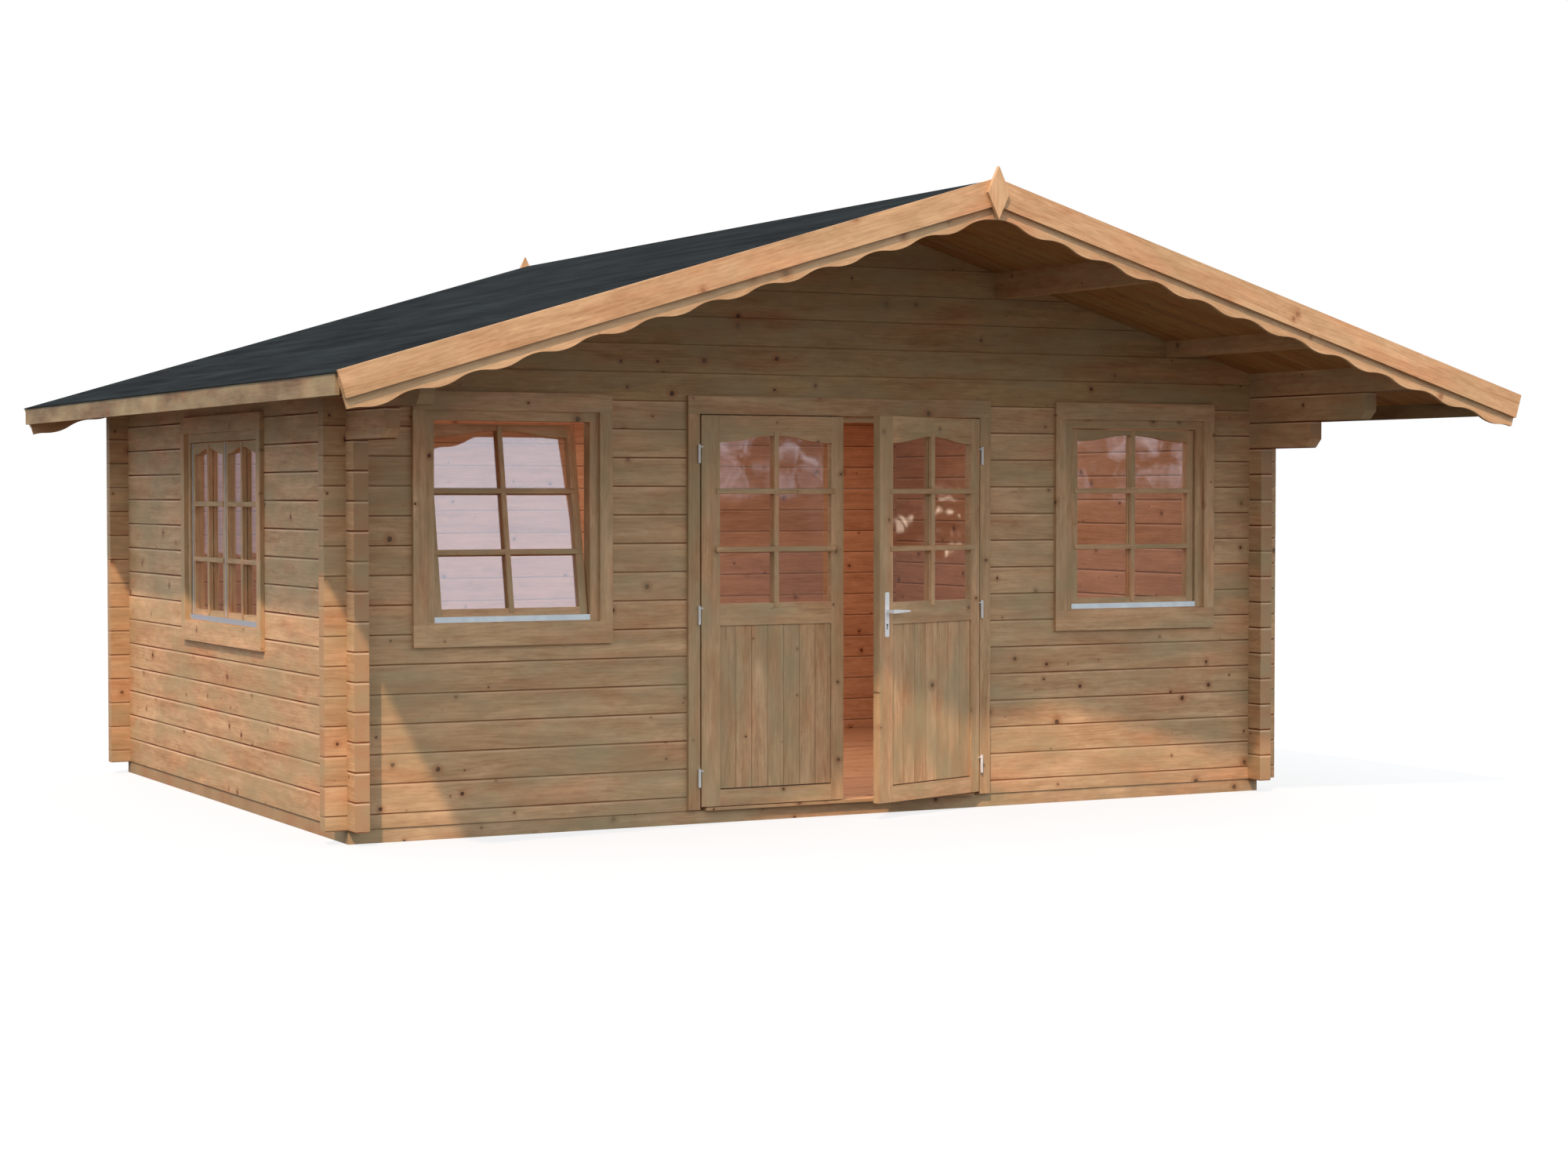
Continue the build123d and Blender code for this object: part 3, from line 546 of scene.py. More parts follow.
def wire(tree, shader, colour, rough=None, relief=None):
    """Connect a material's colour, its roughness and its relief, given as (height, distance, strength)."""
    tree.links.new(colour, shader.inputs["Base Color"])
    if rough:
        tree.links.new(rough, shader.inputs["Roughness"])
    if relief:
        bump = put(tree, "ShaderNodeBump", dict(zip(("Height", "Distance", "Strength"), relief)))
        tree.links.new(bump.outputs["Normal"], shader.inputs["Normal"])


def as_colour(value):
    """A colour with its alpha."""
    return (*value, 1.0)


def along_x(tree, x, y, z):
    """Grain along the front: across is up, depth is in."""
    return x, z, y


def laid_flat(tree, x, y, z):
    """Grain along the front, on boards that lie flat."""
    return x, y, z


def along_y(tree, x, y, z):
    """Grain along the sides."""
    return y, z, x


def upright_front(tree, x, y, z):
    """Upright grain on the front."""
    return z, x, y


def upright_side(tree, x, y, z):
    """Upright grain on a side wall."""
    return z, y, x


def down_slope(tree, x, y, z):
    """Grain down the roof's slope, different on its two halves, with the boards side by side along Y."""
    half = sums(tree, "ABSOLUTE", x)
    along = weigh(tree, half, cos(ROOF_ANGLE), times(tree, z, -sin(ROOF_ANGLE)))
    along = weigh(tree, sums(tree, "SIGN", x), 5.0, along)
    across = weigh(tree, half, sin(ROOF_ANGLE), times(tree, z, cos(ROOF_ANGLE)))
    return along, y, across


def barge_slope(tree, x, y, z):
    """Grain down the slope of a board that stands on edge."""
    along, depth, across = down_slope(tree, x, y, z)
    return along, across, depth


def either(tree, mask, plain, masked):
    """One of two grains by a mask, each given as its place along, across and in depth."""
    places = [combine(tree, *parts) for parts in (plain, masked)]
    mixed = put(tree, "ShaderNodeMix", {0: mask, 4: places[0], 5: places[1]}, data_type="VECTOR")
    return split(tree, mixed.outputs[1])


# The level and the upright grain of a frame in a wall that runs along an axis
FRAME_GRAINS = {"x": (along_x, upright_front), "y": (along_y, upright_side)}


def distance(tree, value, mark):
    """How far a value is from a mark."""
    return sums(tree, "ABSOLUTE", sums(tree, "SUBTRACT", value, mark))


def framed(axis, centre, half, low, high):
    """Grain of a frame: upright in its stiles, level in its head and foot."""
    level, upright = FRAME_GRAINS[axis]

    def grain(tree, x, y, z):
        across = {"x": x, "y": y}[axis]
        beside = sums(tree, "GREATER_THAN", distance(tree, across, centre), half)
        stile = times(tree, beside, sums(tree, "GREATER_THAN", z, low), sums(tree, "LESS_THAN", z, high))
        return either(tree, stile, level(tree, x, y, z), upright(tree, x, y, z))
    return grain


def framed_bars(axis, levels):
    """Grain of glazing bars: level near each cross bar and upright elsewhere."""
    level, upright = FRAME_GRAINS[axis]

    def grain(tree, x, y, z):
        near = [sums(tree, "LESS_THAN", distance(tree, z, height), 0.020) for height in levels]
        cross = sums(tree, "MAXIMUM", *near)
        return either(tree, cross, upright(tree, x, y, z), level(tree, x, y, z))
    return grain


def side_sash_grain(tree, x, y, z):
    """Grain of the two side sashes: upright in the four stiles, level in the rails."""
    away = distance(tree, sums(tree, "ABSOLUTE", y), SIDE_SASH_CENTRES[1])
    stile = sums(tree, "GREATER_THAN", away, SIDE_SASH_HALF - SASH_STILE)
    return either(tree, stile, along_y(tree, x, y, z), upright_side(tree, x, y, z))


def timber(name, grain, end_axis=None, board=10.0, first=-5.0, number=0.0, line=0.0, knots=1.0, wear=1.0,
           tint=(1.0, 1.0, 1.0), heart_depth=0.0, turn=0.0, inside=1.0, flush=1.0, knot_depth=0.9, foot_line=0.0):
    """Stained pine with its grain in a given direction.

    Board and first are a board's width and the place of the first joint, both across the grain. Number picks the
    boards' own random lots, heart_depth is where the logs have their heart, and end_axis is the direction in which
    end grain shows. Turn is how far the piece stands turned about the right door's hinge at rest. Foot shadow is the
    height below which a painted shadow line darkens the piece.
    """
    look = bpy.context.scene.cabin_finish
    material, tree, shader = new_material(name, Specular_IOR_Level=0.35)
    texture = put(tree, "ShaderNodeTexCoord")
    position = texture.outputs["Object"]
    if turn:
        inputs = {"Vector": position, "Center": RIGHT_HINGE, "Angle": -turn}
        position = put(tree, "ShaderNodeVectorRotate", inputs, rotation_type="Z_AXIS").outputs[0]
    x, y, z = split(tree, position)
    along, across, depth = grain(tree, x, y, z)
    if heart_depth:
        depth = sums(tree, "SUBTRACT", sums(tree, "ABSOLUTE", depth), heart_depth)
    place = combine(tree, along, across, depth)
    end = 0.0
    if end_axis is not None:
        normal = split(tree, texture.outputs["Normal"])[end_axis]
        end = sums(tree, "GREATER_THAN", sums(tree, "ABSOLUTE", normal), 0.8)
    pale, dark = [as_colour([a * b for a, b in zip(colour, tint)]) for colour in (look.pale_pine, look.dark_pine)]
    inputs = {
        "Place": place, "Board width": board, "First joint": first, "Number": number, "End": end,
        "Knots": knots, "Joint line": line, "Knot depth": knot_depth, "Pale": pale, "Dark": dark,
        "Knot": as_colour(look.knot),
    }
    pine = put(tree, "ShaderNodeGroup", inputs, node_tree=knotty_pine()).outputs
    inputs = {
        "Position": position, "Place": place, "Colour": pine["Colour"], "Wear": wear, "Inside": inside,
        "Weathered": as_colour(look.weathered), "Inner stain": as_colour(look.inner_light_tint), "Flush": flush,
    }
    colour = put(tree, "ShaderNodeGroup", inputs, node_tree=wear_and_room_light()).outputs["Colour"]
    # Painted shadow: a dark band below the foot shadow's height, for the shade in the recess at a panel's foot
    if foot_line:
        colour = blend(tree, sums(tree, "LESS_THAN", z, foot_line), colour, (0.075, 0.042, 0.022, 1.0))
    wire(tree, shader, colour, pine["Roughness"], (pine["Height"], 0.0006, 0.6))
    return material


def roofing_felt():
    """Dark mineral felt with fine and broad streaks along the ridge and a grainy surface."""
    look = bpy.context.scene.cabin_finish
    material, tree, shader = new_material("Roofing felt", Specular_IOR_Level=0.04)
    position = put(tree, "ShaderNodeTexCoord").outputs["Object"]
    fine = streaks(tree, position, (60.0, 2.6, 60.0), 5.0, 0.7)
    clouds = streaks(tree, position, (2.4, 1.1, 2.4), 3.0, 0.5)
    grit = noise(tree, position, 420.0, 3.0, 0.6)
    bands = streaks(tree, position, (11.0, 0.9, 11.0), 4.0, 0.7)
    tone = weigh(tree, fine, 0.40, times(tree, clouds, 0.25))
    tone = weigh(tree, bands, 0.50, tone)
    tone = remap(tree, weigh(tree, grit, 0.20, tone), 0.54, 0.82)
    pale = as_colour([value * 2.5 + 0.004 for value in look.felt])
    deep = as_colour([value * 0.20 for value in look.felt])
    wire(tree, shader, blend(tree, tone, deep, pale), remap(tree, grit, 0.3, 0.7, 0.82, 0.98), (grit, 0.0012, 0.7))
    return material


def window_glass():
    """Clear panes that mirror the sky."""
    material, tree, shader = new_material("Window glass", Metallic=1.0, Alpha=0.24, Roughness=0.015)
    position = put(tree, "ShaderNodeTexCoord").outputs["Object"]
    ripple = noise(tree, position, 5.0, 1.0)
    tint = blend(tree, remap(tree, ripple, 0.35, 0.65), (0.93, 0.94, 0.96, 1.0), (0.97, 0.97, 0.98, 1.0))
    wire(tree, shader, tint, relief=(ripple, 0.002, 0.25))
    return material


def brushed_metal(name, colour, metallic, roughness, stretch, shaded_left_of=-10.0):
    """Metal with fine brushing along one direction, and painted shade on pieces left of a given place."""
    material, tree, shader = new_material(name, Metallic=metallic)
    position = put(tree, "ShaderNodeTexCoord").outputs["Object"]
    lines = streaks(tree, position, stretch, 3.0, 0.6)
    stains = noise(tree, position, 18.0, 3.0)
    pale = as_colour([min(1.0, value * 1.08) for value in colour])
    deep = as_colour([value * 0.95 for value in colour])
    tone = blend(tree, remap(tree, stains, 0.35, 0.65), deep, pale)
    x = split(tree, position)[0]
    # Painted shade: a darker blue-grey on pieces left of the given place
    tone = blend(tree, sums(tree, "LESS_THAN", x, shaded_left_of), tone, (0.33, 0.37, 0.43, 1.0))
    rough = remap(tree, lines, 0.3, 0.7, roughness - 0.07, roughness + 0.09)
    wire(tree, shader, tone, rough, (lines, 0.0002, 0.5))
    return material


def seal_rubber():
    """Pale grey sealing strip."""
    material, tree, shader = new_material("Seal", Specular_IOR_Level=0.4)
    position = put(tree, "ShaderNodeTexCoord").outputs["Object"]
    dust = noise(tree, position, 35.0, 4.0, 0.6)
    tone = blend(tree, remap(tree, dust, 0.35, 0.7), (0.43, 0.44, 0.45, 1.0), (0.56, 0.57, 0.58, 1.0))
    wire(tree, shader, tone, remap(tree, dust, 0.3, 0.7, 0.45, 0.65))
    return material


def keyhole_shade():
    """Painted shade of a keyhole's inside, on a near-black piece."""
    material, tree, shader = new_material("Keyhole", Specular_IOR_Level=0.2)
    position = put(tree, "ShaderNodeTexCoord").outputs["Object"]
    dust = noise(tree, position, 300.0, 2.0)
    tone = blend(tree, dust, (0.006, 0.006, 0.006, 1.0), (0.02, 0.019, 0.018, 1.0))
    wire(tree, shader, tone, remap(tree, dust, 0.3, 0.7, 0.7, 0.9))
    return material


def keep(name, maker, *arguments, **values):
    """A material by name, made the first time that it is asked for."""
    return bpy.data.materials.get(name) or maker(name, *arguments, **values)


def spoken(name):
    """A piece's name as a label."""
    return name.replace("_", " ").capitalize()


def give(material, *nodes):
    """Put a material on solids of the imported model."""
    for node in nodes:
        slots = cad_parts[node].material_slots
        if not slots:
            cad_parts[node].data.materials.append(material)
        for slot in slots:
            slot.material = material


# Half the width between the stiles of an opening's casing, and of its lining
FRONT_WINDOW, SIDE_WINDOW, DOORWAY = (0.40, 0.3868), (0.60, 0.5858), (0.75, 0.70)
# Heights of the level members at a casing's and a lining's foot and head. Where stiles run through, they run past.
CASING_RAILS, LINING_RAILS, PAST = (0.104, 0.086), (0.0497, 0.1047), -1.0
# Lower edge of the door frame's head, and width of a sash's stile
DOOR_LINING_HEAD = 1.9300
SASH_STILE = 0.0392


def give_framed(name, node, axis, centre, half, rails, number, **values):
    """Put timber on a frame, whose stiles start half its opening's width off its middle."""
    low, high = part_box(node)
    grain = framed(axis, centre, half, low.z + rails[0], high.z - rails[1])
    give(timber(name, grain, number=number, **values), node)


# Operators: one for each piece or group of like pieces


class CabinRoofBoards(bpy.types.Operator):
    """Lay both roof slopes in boards that run from the ridge to the eave"""

    bl_idname = "cabin.roof_boards"
    bl_label = "Roof boards"

    def execute(self, context):
        sizes = context.scene.cabin_boards
        # The roof boards' dark olive tint is painted shade on the roof's underside
        material = keep("Roof boards", timber, down_slope, board=sizes.roof_board_width,
                        first=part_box("roof_boards_left")[0].y, line=0.55, wear=0.35, tint=(0.64, 0.49, 0.24))
        for node in ("roof_boards_left", "roof_boards_right"):
            low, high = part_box(node)
            side = -1 if high.x < 0.01 else 1
            ridge_x, eave_x = sorted((low.x, high.x), key=abs)
            fall = (abs(eave_x) - abs(ridge_x)) * tan(ROOF_ANGLE)
            thickness = high.z - low.z - fall
            count = round((high.y - low.y) / sizes.roof_board_width)
            pitch = (high.y - low.y) / count
            section = eased(pitch / 2 - sizes.joint / 2, 0.0, -thickness, sizes.groove)
            start = Vector((ridge_x, low.y + pitch / 2, high.z))
            outline = [start + Vector((0, across, up)) for across, up in section]

            def board(bm):
                prism(bm, outline, Vector((eave_x - ridge_x, 0, -fall)))

            piece = new_piece(f"dressed_{node}", board)
            play = (0.0, sizes.play, 0.0)
            lay_row(piece, count, (0.0, pitch, 0.0), play, seed=3 + side, material=material)
            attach(piece, "cabin")
            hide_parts(node)
        return {"FINISHED"}


class CabinFloorBoards(bpy.types.Operator):
    """Lay the floor in boards across the bearers"""

    bl_idname = "cabin.floor_boards"
    bl_label = "Floor boards"

    def execute(self, context):
        sizes = context.scene.cabin_boards
        low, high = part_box("floor")
        count = round((high.y - low.y) / sizes.floor_board_width)
        pitch = (high.y - low.y) / count
        section = eased(pitch / 2 - sizes.joint / 2, low.z, high.z, sizes.groove / 2)
        outline = [Vector((low.x, low.y + pitch / 2 + across, up)) for across, up in section]

        def board(bm):
            prism(bm, outline, Vector((high.x - low.x, 0, 0)))

        material = keep("Floor boards", timber, laid_flat, board=pitch, first=low.y, line=0.6, wear=0.0)
        piece = new_piece("floor_board_row", board)
        lay_row(piece, count, (0.0, pitch, 0.0), (0.0, sizes.play, 0.0), seed=11, material=material)
        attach(piece, "cabin")
        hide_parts("floor")
        return {"FINISHED"}


# Members of a leaf, in its own closed plane: (left, right) of the panel and glass
LEFT_INNER = (-0.678, -0.0705)
RIGHT_INNER = (0.1015, 0.709)
PANEL_FOOT, PANEL_HEAD = 0.161, 0.949
GLASS_FOOT, GLASS_CROWN = 1.053, 1.860
LEAF_CROSS_BARS = (1.313, 1.592)
PANEL_HALF = 0.009
# Each leaf: its side, its body, how far it stands open at rest, and its inner edges
LEAVES = ((-1, "left_door", 0.0, LEFT_INNER), (1, "right_door", RIGHT_LEAF_AJAR, RIGHT_INNER))


class CabinDoorBoards(bpy.types.Operator):
    """Board the lower panel of both doors, inside and outside"""

    bl_idname = "cabin.door_boards"
    bl_label = "Door panel boards"

    def execute(self, context):
        sizes = context.scene.cabin_boards
        for side, body, turn, (left, right) in LEAVES:
            pitch = (right - left) / sizes.panel_boards
            material = keep(f"{spoken(body)} panel", timber, upright_front, board=pitch, first=left,
                            number=40.0 * side, line=0.26, knots=0.9, wear=1.25, flush=1.2, turn=turn,
                            foot_line=PANEL_FOOT + sizes.foot_line)
            place = leaf_plane(turn)
            rows = []
            for out in (1, -1):
                back = out * PANEL_HALF - LEAF_THICKNESS / 2
                front = back + out * sizes.cladding
                across = left + pitch / 2

                def board(bm):
                    low, high = (across, PANEL_FOOT), (across, PANEL_HEAD)
                    bar(bm, place, low, high, pitch - sizes.joint, back, front, sizes.groove * 0.25)

                row = new_piece("panel_row", board)
                step = place.to_3x3() @ Vector((pitch, 0, 0))
                lay_row(row, sizes.panel_boards, step, seed=20 + side, material=material)
                rows.append(row)
            piece = join(f"{body}_panel_boards", rows)
            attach(piece, body)
        return {"FINISHED"}


# Heights of the level bars, and the middles of the side window's two sashes
FRONT_LEVELS = (1.3075, 1.5955)
SIDE_LEVELS = (1.240, 1.528)
SIDE_SASH_CENTRES = (-0.293, 0.293)
SIDE_SASH_HALF = 0.288
SEAL_FOOT = 0.030
# How much narrower a bar is between the glass and the face, and how far its face strip is sunk into the sash
BAR_TONGUE = 0.006
BAR_SUNK = 0.0002


def planted_bars(bm, place, sizes, halves, cross, foot, crown, thickness, centre=0.0):
    """Glazing bars on both faces of a sash: one upright in the middle and level ones across it."""
    left, right = centre - halves, centre + halves
    runs = [((centre, foot), (centre, crown), sizes.upright_width, (0, sizes.lap))]
    runs += [((left, level), (right, level), sizes.cross_width, (sizes.lap, 0)) for level in cross]
    for number, (start, end, width, reach) in enumerate(runs):
        first, last = Vector(start) - Vector(reach), Vector(end) + Vector(reach)
        # Bars that cross lie a little below each other
        rebate = 0.0004 * number
        for face, out in ((0.0, 1), (-thickness, -1)):
            glass = out * GLASS_HALF - thickness / 2
            bar(bm, place, start, end, width - BAR_TONGUE, glass, face - out * rebate)
            bar(bm, place, first, last, width, face - out * BAR_SUNK, face + out * (sizes.stand - rebate), sizes.ease)


class CabinWindowBars(bpy.types.Operator):
    """Plant the glazing bars on the two front windows"""

    bl_idname = "cabin.window_bars"
    bl_label = "Front window bars"

    def execute(self, context):
        sizes = context.scene.cabin_bars
        glass_low, glass_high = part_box("right_window_glass")
        half = (glass_high.x - glass_low.x) / 2
        for side, label in ((-1, "left"), (1, "right")):
            def bars(bm):
                planted_bars(bm, front_sash_plane(side), sizes, half, FRONT_LEVELS, glass_low.z, glass_high.z,
                             SASH_THICKNESS)

            material = keep(f"{label.capitalize()} window bars", timber, framed_bars("x", FRONT_LEVELS),
                            number=60.0 + side, knots=0.3, inside=0.0)
            piece = new_piece(f"{label}_window_bars", bars, material)
            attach(piece, "cabin")
        return {"FINISHED"}


class CabinSideWindow(bpy.types.Operator):
    """Plant the glazing bars and the grey seals on the side window"""

    bl_idname = "cabin.side_window"
    bl_label = "Side window bars and seals"

    def execute(self, context):
        sizes = context.scene.cabin_bars
        glass_low, glass_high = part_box("side_window_glass")
        sash_low, sash_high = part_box("side_window_sashes")
        half = abs(SIDE_SASH_CENTRES[1] - glass_high.y)

        def bars(bm):
            for centre in SIDE_SASH_CENTRES:
                planted_bars(bm, side_sash_plane(centre), sizes, half, SIDE_LEVELS, glass_low.z, glass_high.z,
                             SASH_THICKNESS)

        material = keep("Side window bars", timber, framed_bars("y", SIDE_LEVELS), number=64.0, knots=0.3)
        piece = new_piece("side_window_bars", bars, material)
        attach(piece, "cabin")

        def seals(bm):
            for centre in SIDE_SASH_CENTRES:
                place = side_sash_plane(centre)
                edge = sizes.seal_width / 2 - SIDE_SASH_HALF
                foot, head = sash_low.z + SEAL_FOOT, sash_high.z
                bar(bm, place, (edge, foot), (edge, head), sizes.seal_width, 0.0, 0.0045, 0.0015)

        strip = new_piece("side_window_seals", seals, seal_rubber())
        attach(strip, "cabin")
        return {"FINISHED"}


class CabinDoorBars(bpy.types.Operator):
    """Plant the glazing bars on both doors"""

    bl_idname = "cabin.door_bars"
    bl_label = "Door bars"

    def execute(self, context):
        sizes = context.scene.cabin_bars
        for side, body, turn, (left, right) in LEAVES:
            centre, half = (left + right) / 2, (right - left) / 2

            def bars(bm):
                planted_bars(bm, leaf_plane(turn), sizes, half, LEAF_CROSS_BARS, GLASS_FOOT, GLASS_CROWN,
                             LEAF_THICKNESS, centre)

            grain = framed_bars("x", LEAF_CROSS_BARS)
            material = keep(f"{spoken(body)} bars", timber, grain, number=70.0 + side, knots=0.3, turn=turn)
            piece = new_piece(f"{body}_bars", bars, material)
            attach(piece, body)
        return {"FINISHED"}


def screw_head(bm, place, across, up, out, radius=0.0036, height=0.0012):
    """A round screw head with a sunk square socket, on a plane."""
    def ring(count, reach, rise):
        turns = [radians(360 / count * step) for step in range(count)]
        return [
            bm.verts.new(place @ Vector((across + reach * cos(turn), up + reach * sin(turn), out + rise)))
            for turn in turns
        ]

    # The flat top and the socket have these shares of the rim's radius, and the socket's floor this of the height
    sides, corners = 12, 4
    rim = ring(sides, radius, 0.0)
    top = ring(sides, radius * 0.72, height)
    well = ring(corners, radius * 0.34, height * 0.2)
    for step in range(sides):
        after = (step + 1) % sides
        bm.faces.new((rim[step], rim[after], top[after], top[step]))
        corner, next_corner = step * corners // sides, after * corners // sides
        if corner == next_corner:
            bm.faces.new((top[step], top[after], well[corner]))
        else:
            bm.faces.new((top[step], top[after], well[next_corner], well[corner]))
    bm.faces.new(well)
    bm.faces.new(list(reversed(rim)))


# The handle's plate on the right leaf: its middle line, foot, head and relief, and its screws' inset
PLATE_ACROSS, PLATE_FOOT, PLATE_HEAD, PLATE_OUT = 0.0555, 0.888, 1.104, 0.0033
PLATE_INSET = 0.012
# The keyhole's slot and round end: foot, head, width and relief
KEYHOLE = ((0.925, 0.947, 0.006, 0.0003), (0.942, 0.951, 0.011, 0.0004))
# A drip strip's screws: how far under its top, the first one's place and their spacing
DRIP_DROP, DRIP_FIRST, DRIP_PITCH = 0.012, -0.33, 0.22


class CabinFastenings(bpy.types.Operator):
    """Screw the handle plates and the drip strips, and put near-black pieces on the plates as painted shade of the
    keyholes
    """

    bl_idname = "cabin.fastenings"
    bl_label = "Screws and keyholes"

    def execute(self, context):
        outer = leaf_plane(RIGHT_LEAF_AJAR)
        faces = ((outer, PLATE_ACROSS, PLATE_OUT), (turned_over(outer), -PLATE_ACROSS, LEAF_THICKNESS + PLATE_OUT))
        rows = []
        for face, across, out in faces:
            def plate_screw(bm):
                screw_head(bm, face, across, PLATE_FOOT + PLATE_INSET, out)

            row = new_piece("screw_row", plate_screw)
            step = face.to_3x3() @ Vector((0, PLATE_HEAD - PLATE_FOOT - 2 * PLATE_INSET, 0))
            lay_row(row, 2, step, material=bpy.data.materials["Handle steel"])
            rows.append(row)
        screws = join("handle_plate_screws", rows)
        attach(screws, "right_door")

        def keyholes(bm):
            for face, across, out in faces:
                for foot, crown, width, relief in KEYHOLE:
                    bar(bm, face, (across, foot), (across, crown), width, out - 0.0005, out + relief)

        holes = new_piece("keyholes", keyholes, keyhole_shade())
        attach(holes, "right_door")

        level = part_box("window_drip_strips")[1].z - DRIP_DROP
        drips = []
        for side in (-1, 1):
            front = front_plane(side * middle("right_window_glass"), -WALL.y)

            def drip_screw(bm):
                screw_head(bm, front, DRIP_FIRST, level, 0.0)

            row = new_piece("drip_screw_row", drip_screw)
            lay_row(row, 4, (DRIP_PITCH, 0, 0), material=bpy.data.materials["Drip metal"])
            drips.append(row)
        strip_screws = join("drip_strip_screws", drips)
        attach(strip_screws, "cabin")
        return {"FINISHED"}


class CabinDoorBolts(bpy.types.Operator):
    """Fit the two shoot bolts that hold the left door, on its inner face"""

    bl_idname = "cabin.door_bolts"
    bl_label = "Door bolts"

    def execute(self, context):
        place = turned_over(leaf_plane(0.0))
        across = 0.037
        out = LEAF_THICKNESS

        def bolts(bm):
            # Each bolt: its plate's foot and head, and the tip of its rod
            for low, high, tip in ((0.100, 0.260, 0.090), (1.765, 1.925, 1.948)):
                centre = (low + high) / 2
                end = high - 0.01 if tip < low else low + 0.01
                # Plate, rod and knob: foot, head, width, back, front and bevel
                for foot, crown, width, back, front, ease in (
                    (low, high, 0.032, 0.0, 0.002, 0.0008), (tip, end, 0.010, 0.002, 0.011, 0.003),
                    (centre - 0.005, centre + 0.005, 0.010, 0.010, 0.026, 0.002),
                ):
                    bar(bm, place, (across, foot), (across, crown), width, out + back, out + front, ease)
                for level in (centre - 0.05, centre + 0.05):
                    bar(bm, place, (across - 0.013, level), (across + 0.013, level), 0.012, out + 0.0018,
                        out + 0.0135, 0.002)
                for level in (low + 0.009, high - 0.009):
                    for off in (-0.0105, 0.0105):
                        screw_head(bm, place, across + off, level, out + 0.002, 0.0028, 0.0008)

        piece = new_piece("left_door_bolts", bolts, bpy.data.materials["Hinge steel"])
        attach(piece, "left_door")
        return {"FINISHED"}


class CabinFinishes(bpy.types.Operator):
    """Give every solid of the cabin its finish"""

    bl_idname = "cabin.finishes"
    bl_label = "Finishes"

    def execute(self, context):
        wall_x = WALL.x - LOG_THICKNESS / 2
        wall_y = WALL.y - LOG_THICKNESS / 2
        level = (0, COURSE_PITCH, FRONT_COURSE_START)
        give(timber("Front logs", along_x, *level, line=0.75, heart_depth=wall_y),
             "front_wall_left", "front_wall_right", "back_wall")
        # Gables: the darker olive tint is painted shade under the roof's overhang, and the joint lines are kept faint
        # for the same shade
        give(timber("Gable logs", along_x, *level, line=0.15, heart_depth=wall_y, tint=(0.79, 0.79, 0.66)),
             "front_gable", "back_gable")
        # Side walls: strong joint lines and edge highlights, partly painted light and shade of the sun on the grooves
        give(timber("Side logs", along_y, 1, COURSE_PITCH, WALL.z, 100.0, line=1.60, heart_depth=wall_x),
             "left_wall", "right_wall")
        give(timber("Purlins", along_y, 1, *level[1:], 140.0, wear=0.5, tint=(0.88, 0.86, 0.80)), "purlins")
        give(timber("Base timber", along_x, 0, number=150.0, tint=(0.95, 0.97, 0.98), heart_depth=wall_y),
             "base_beams")
        give(timber("Bearers", along_y, 1, number=152.0, tint=(0.86, 0.92, 0.95)), "floor_bearers")

        pale = (0.98, 0.97, 0.97)
        give(timber("Barge boards", barge_slope, number=160.0, tint=pale, wear=0.30, flush=0.95, knot_depth=0.35),
             "front_barge_boards", "back_barge_boards")
        give(timber("Scalloped boards", barge_slope, number=164.0, tint=pale, wear=0.45, knot_depth=0.4),
             "front_scalloped_boards", "back_scalloped_boards")
        give(timber("Fascias", along_y, number=168.0, wear=1.3, tint=(0.36, 0.405, 0.41)), "eave_fascias")
        give(timber("Finials", upright_front, number=170.0, tint=pale, wear=0.3, knots=0.5), "finials")

        sash_low, sash_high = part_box("right_window_sash")
        inner = (sash_high.x - sash_low.x) / 2 - SASH_STILE
        for side, label in ((-1, "Left"), (1, "Right")):
            node = f"{label.lower()}_window"
            centre = middle(f"{node}_casing")
            give_framed(f"{label} casing", f"{node}_casing", "x", centre, FRONT_WINDOW[0], CASING_RAILS, 180.0 + side)
            give_framed(f"{label} sash", f"{node}_sash", "x", centre, inner, (PAST, PAST), 184.0 + side,
                        knots=0.5, inside=0.0)
            give_framed(f"{label} frame", f"{node}_frame", "x", centre, FRONT_WINDOW[1], LINING_RAILS, 188.0 + side)
        give_framed("Side casing", "side_window_casing", "y", 0.0, SIDE_WINDOW[0], CASING_RAILS, 192.0)
        give_framed("Side frame", "side_window_frame", "y", 0.0, SIDE_WINDOW[1], LINING_RAILS, 196.0)
        give(timber("Side sashes", side_sash_grain, number=198.0, knots=0.5), "side_window_sashes")

        give_framed("Door casing", "door_casing", "x", 0.0, DOORWAY[0], (PAST, CASING_RAILS[1]), 200.0)
        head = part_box("door_frame")[1].z - DOOR_LINING_HEAD
        give_framed("Door frame", "door_frame", "x", 0.0, DOORWAY[1], (PAST, head), 204.0)
        give(timber("Threshold", along_x, number=206.0), "door_threshold")
        for side, body, turn, (left, right) in LEAVES:
            label = body.split("_")[0]
            give_framed(f"{label.capitalize()} leaf", f"{label}_leaf", "x", (left + right) / 2, (right - left) / 2,
                        (PAST, PAST), 210.0 + side, turn=turn, knots=0.9)

        give(roofing_felt(), "roof_felt_left", "roof_felt_right")
        give(window_glass(), "left_window_glass", "right_window_glass", "side_window_glass", "left_leaf_glass",
             "right_leaf_glass")
        # The side window's drip strip gets painted shade
        side_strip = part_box("left_wall")[0].x + 0.1
        drip = brushed_metal("Drip metal", (0.80, 0.90, 0.97), 0.0, 0.45, (8.0, 8.0, 900.0), side_strip)
        give(drip, "window_drip_strips")
        hinge = brushed_metal("Hinge steel", (0.80, 0.80, 0.78), 0.15, 0.42, (700.0, 700.0, 30.0))
        give(hinge, "casing_hinge_halves", "left_leaf_hinges", "right_leaf_hinges")
        give(brushed_metal("Handle steel", (0.98, 0.98, 0.95), 0.0, 0.30, (60.0, 60.0, 900.0)), "door_handle")
        return {"FINISHED"}


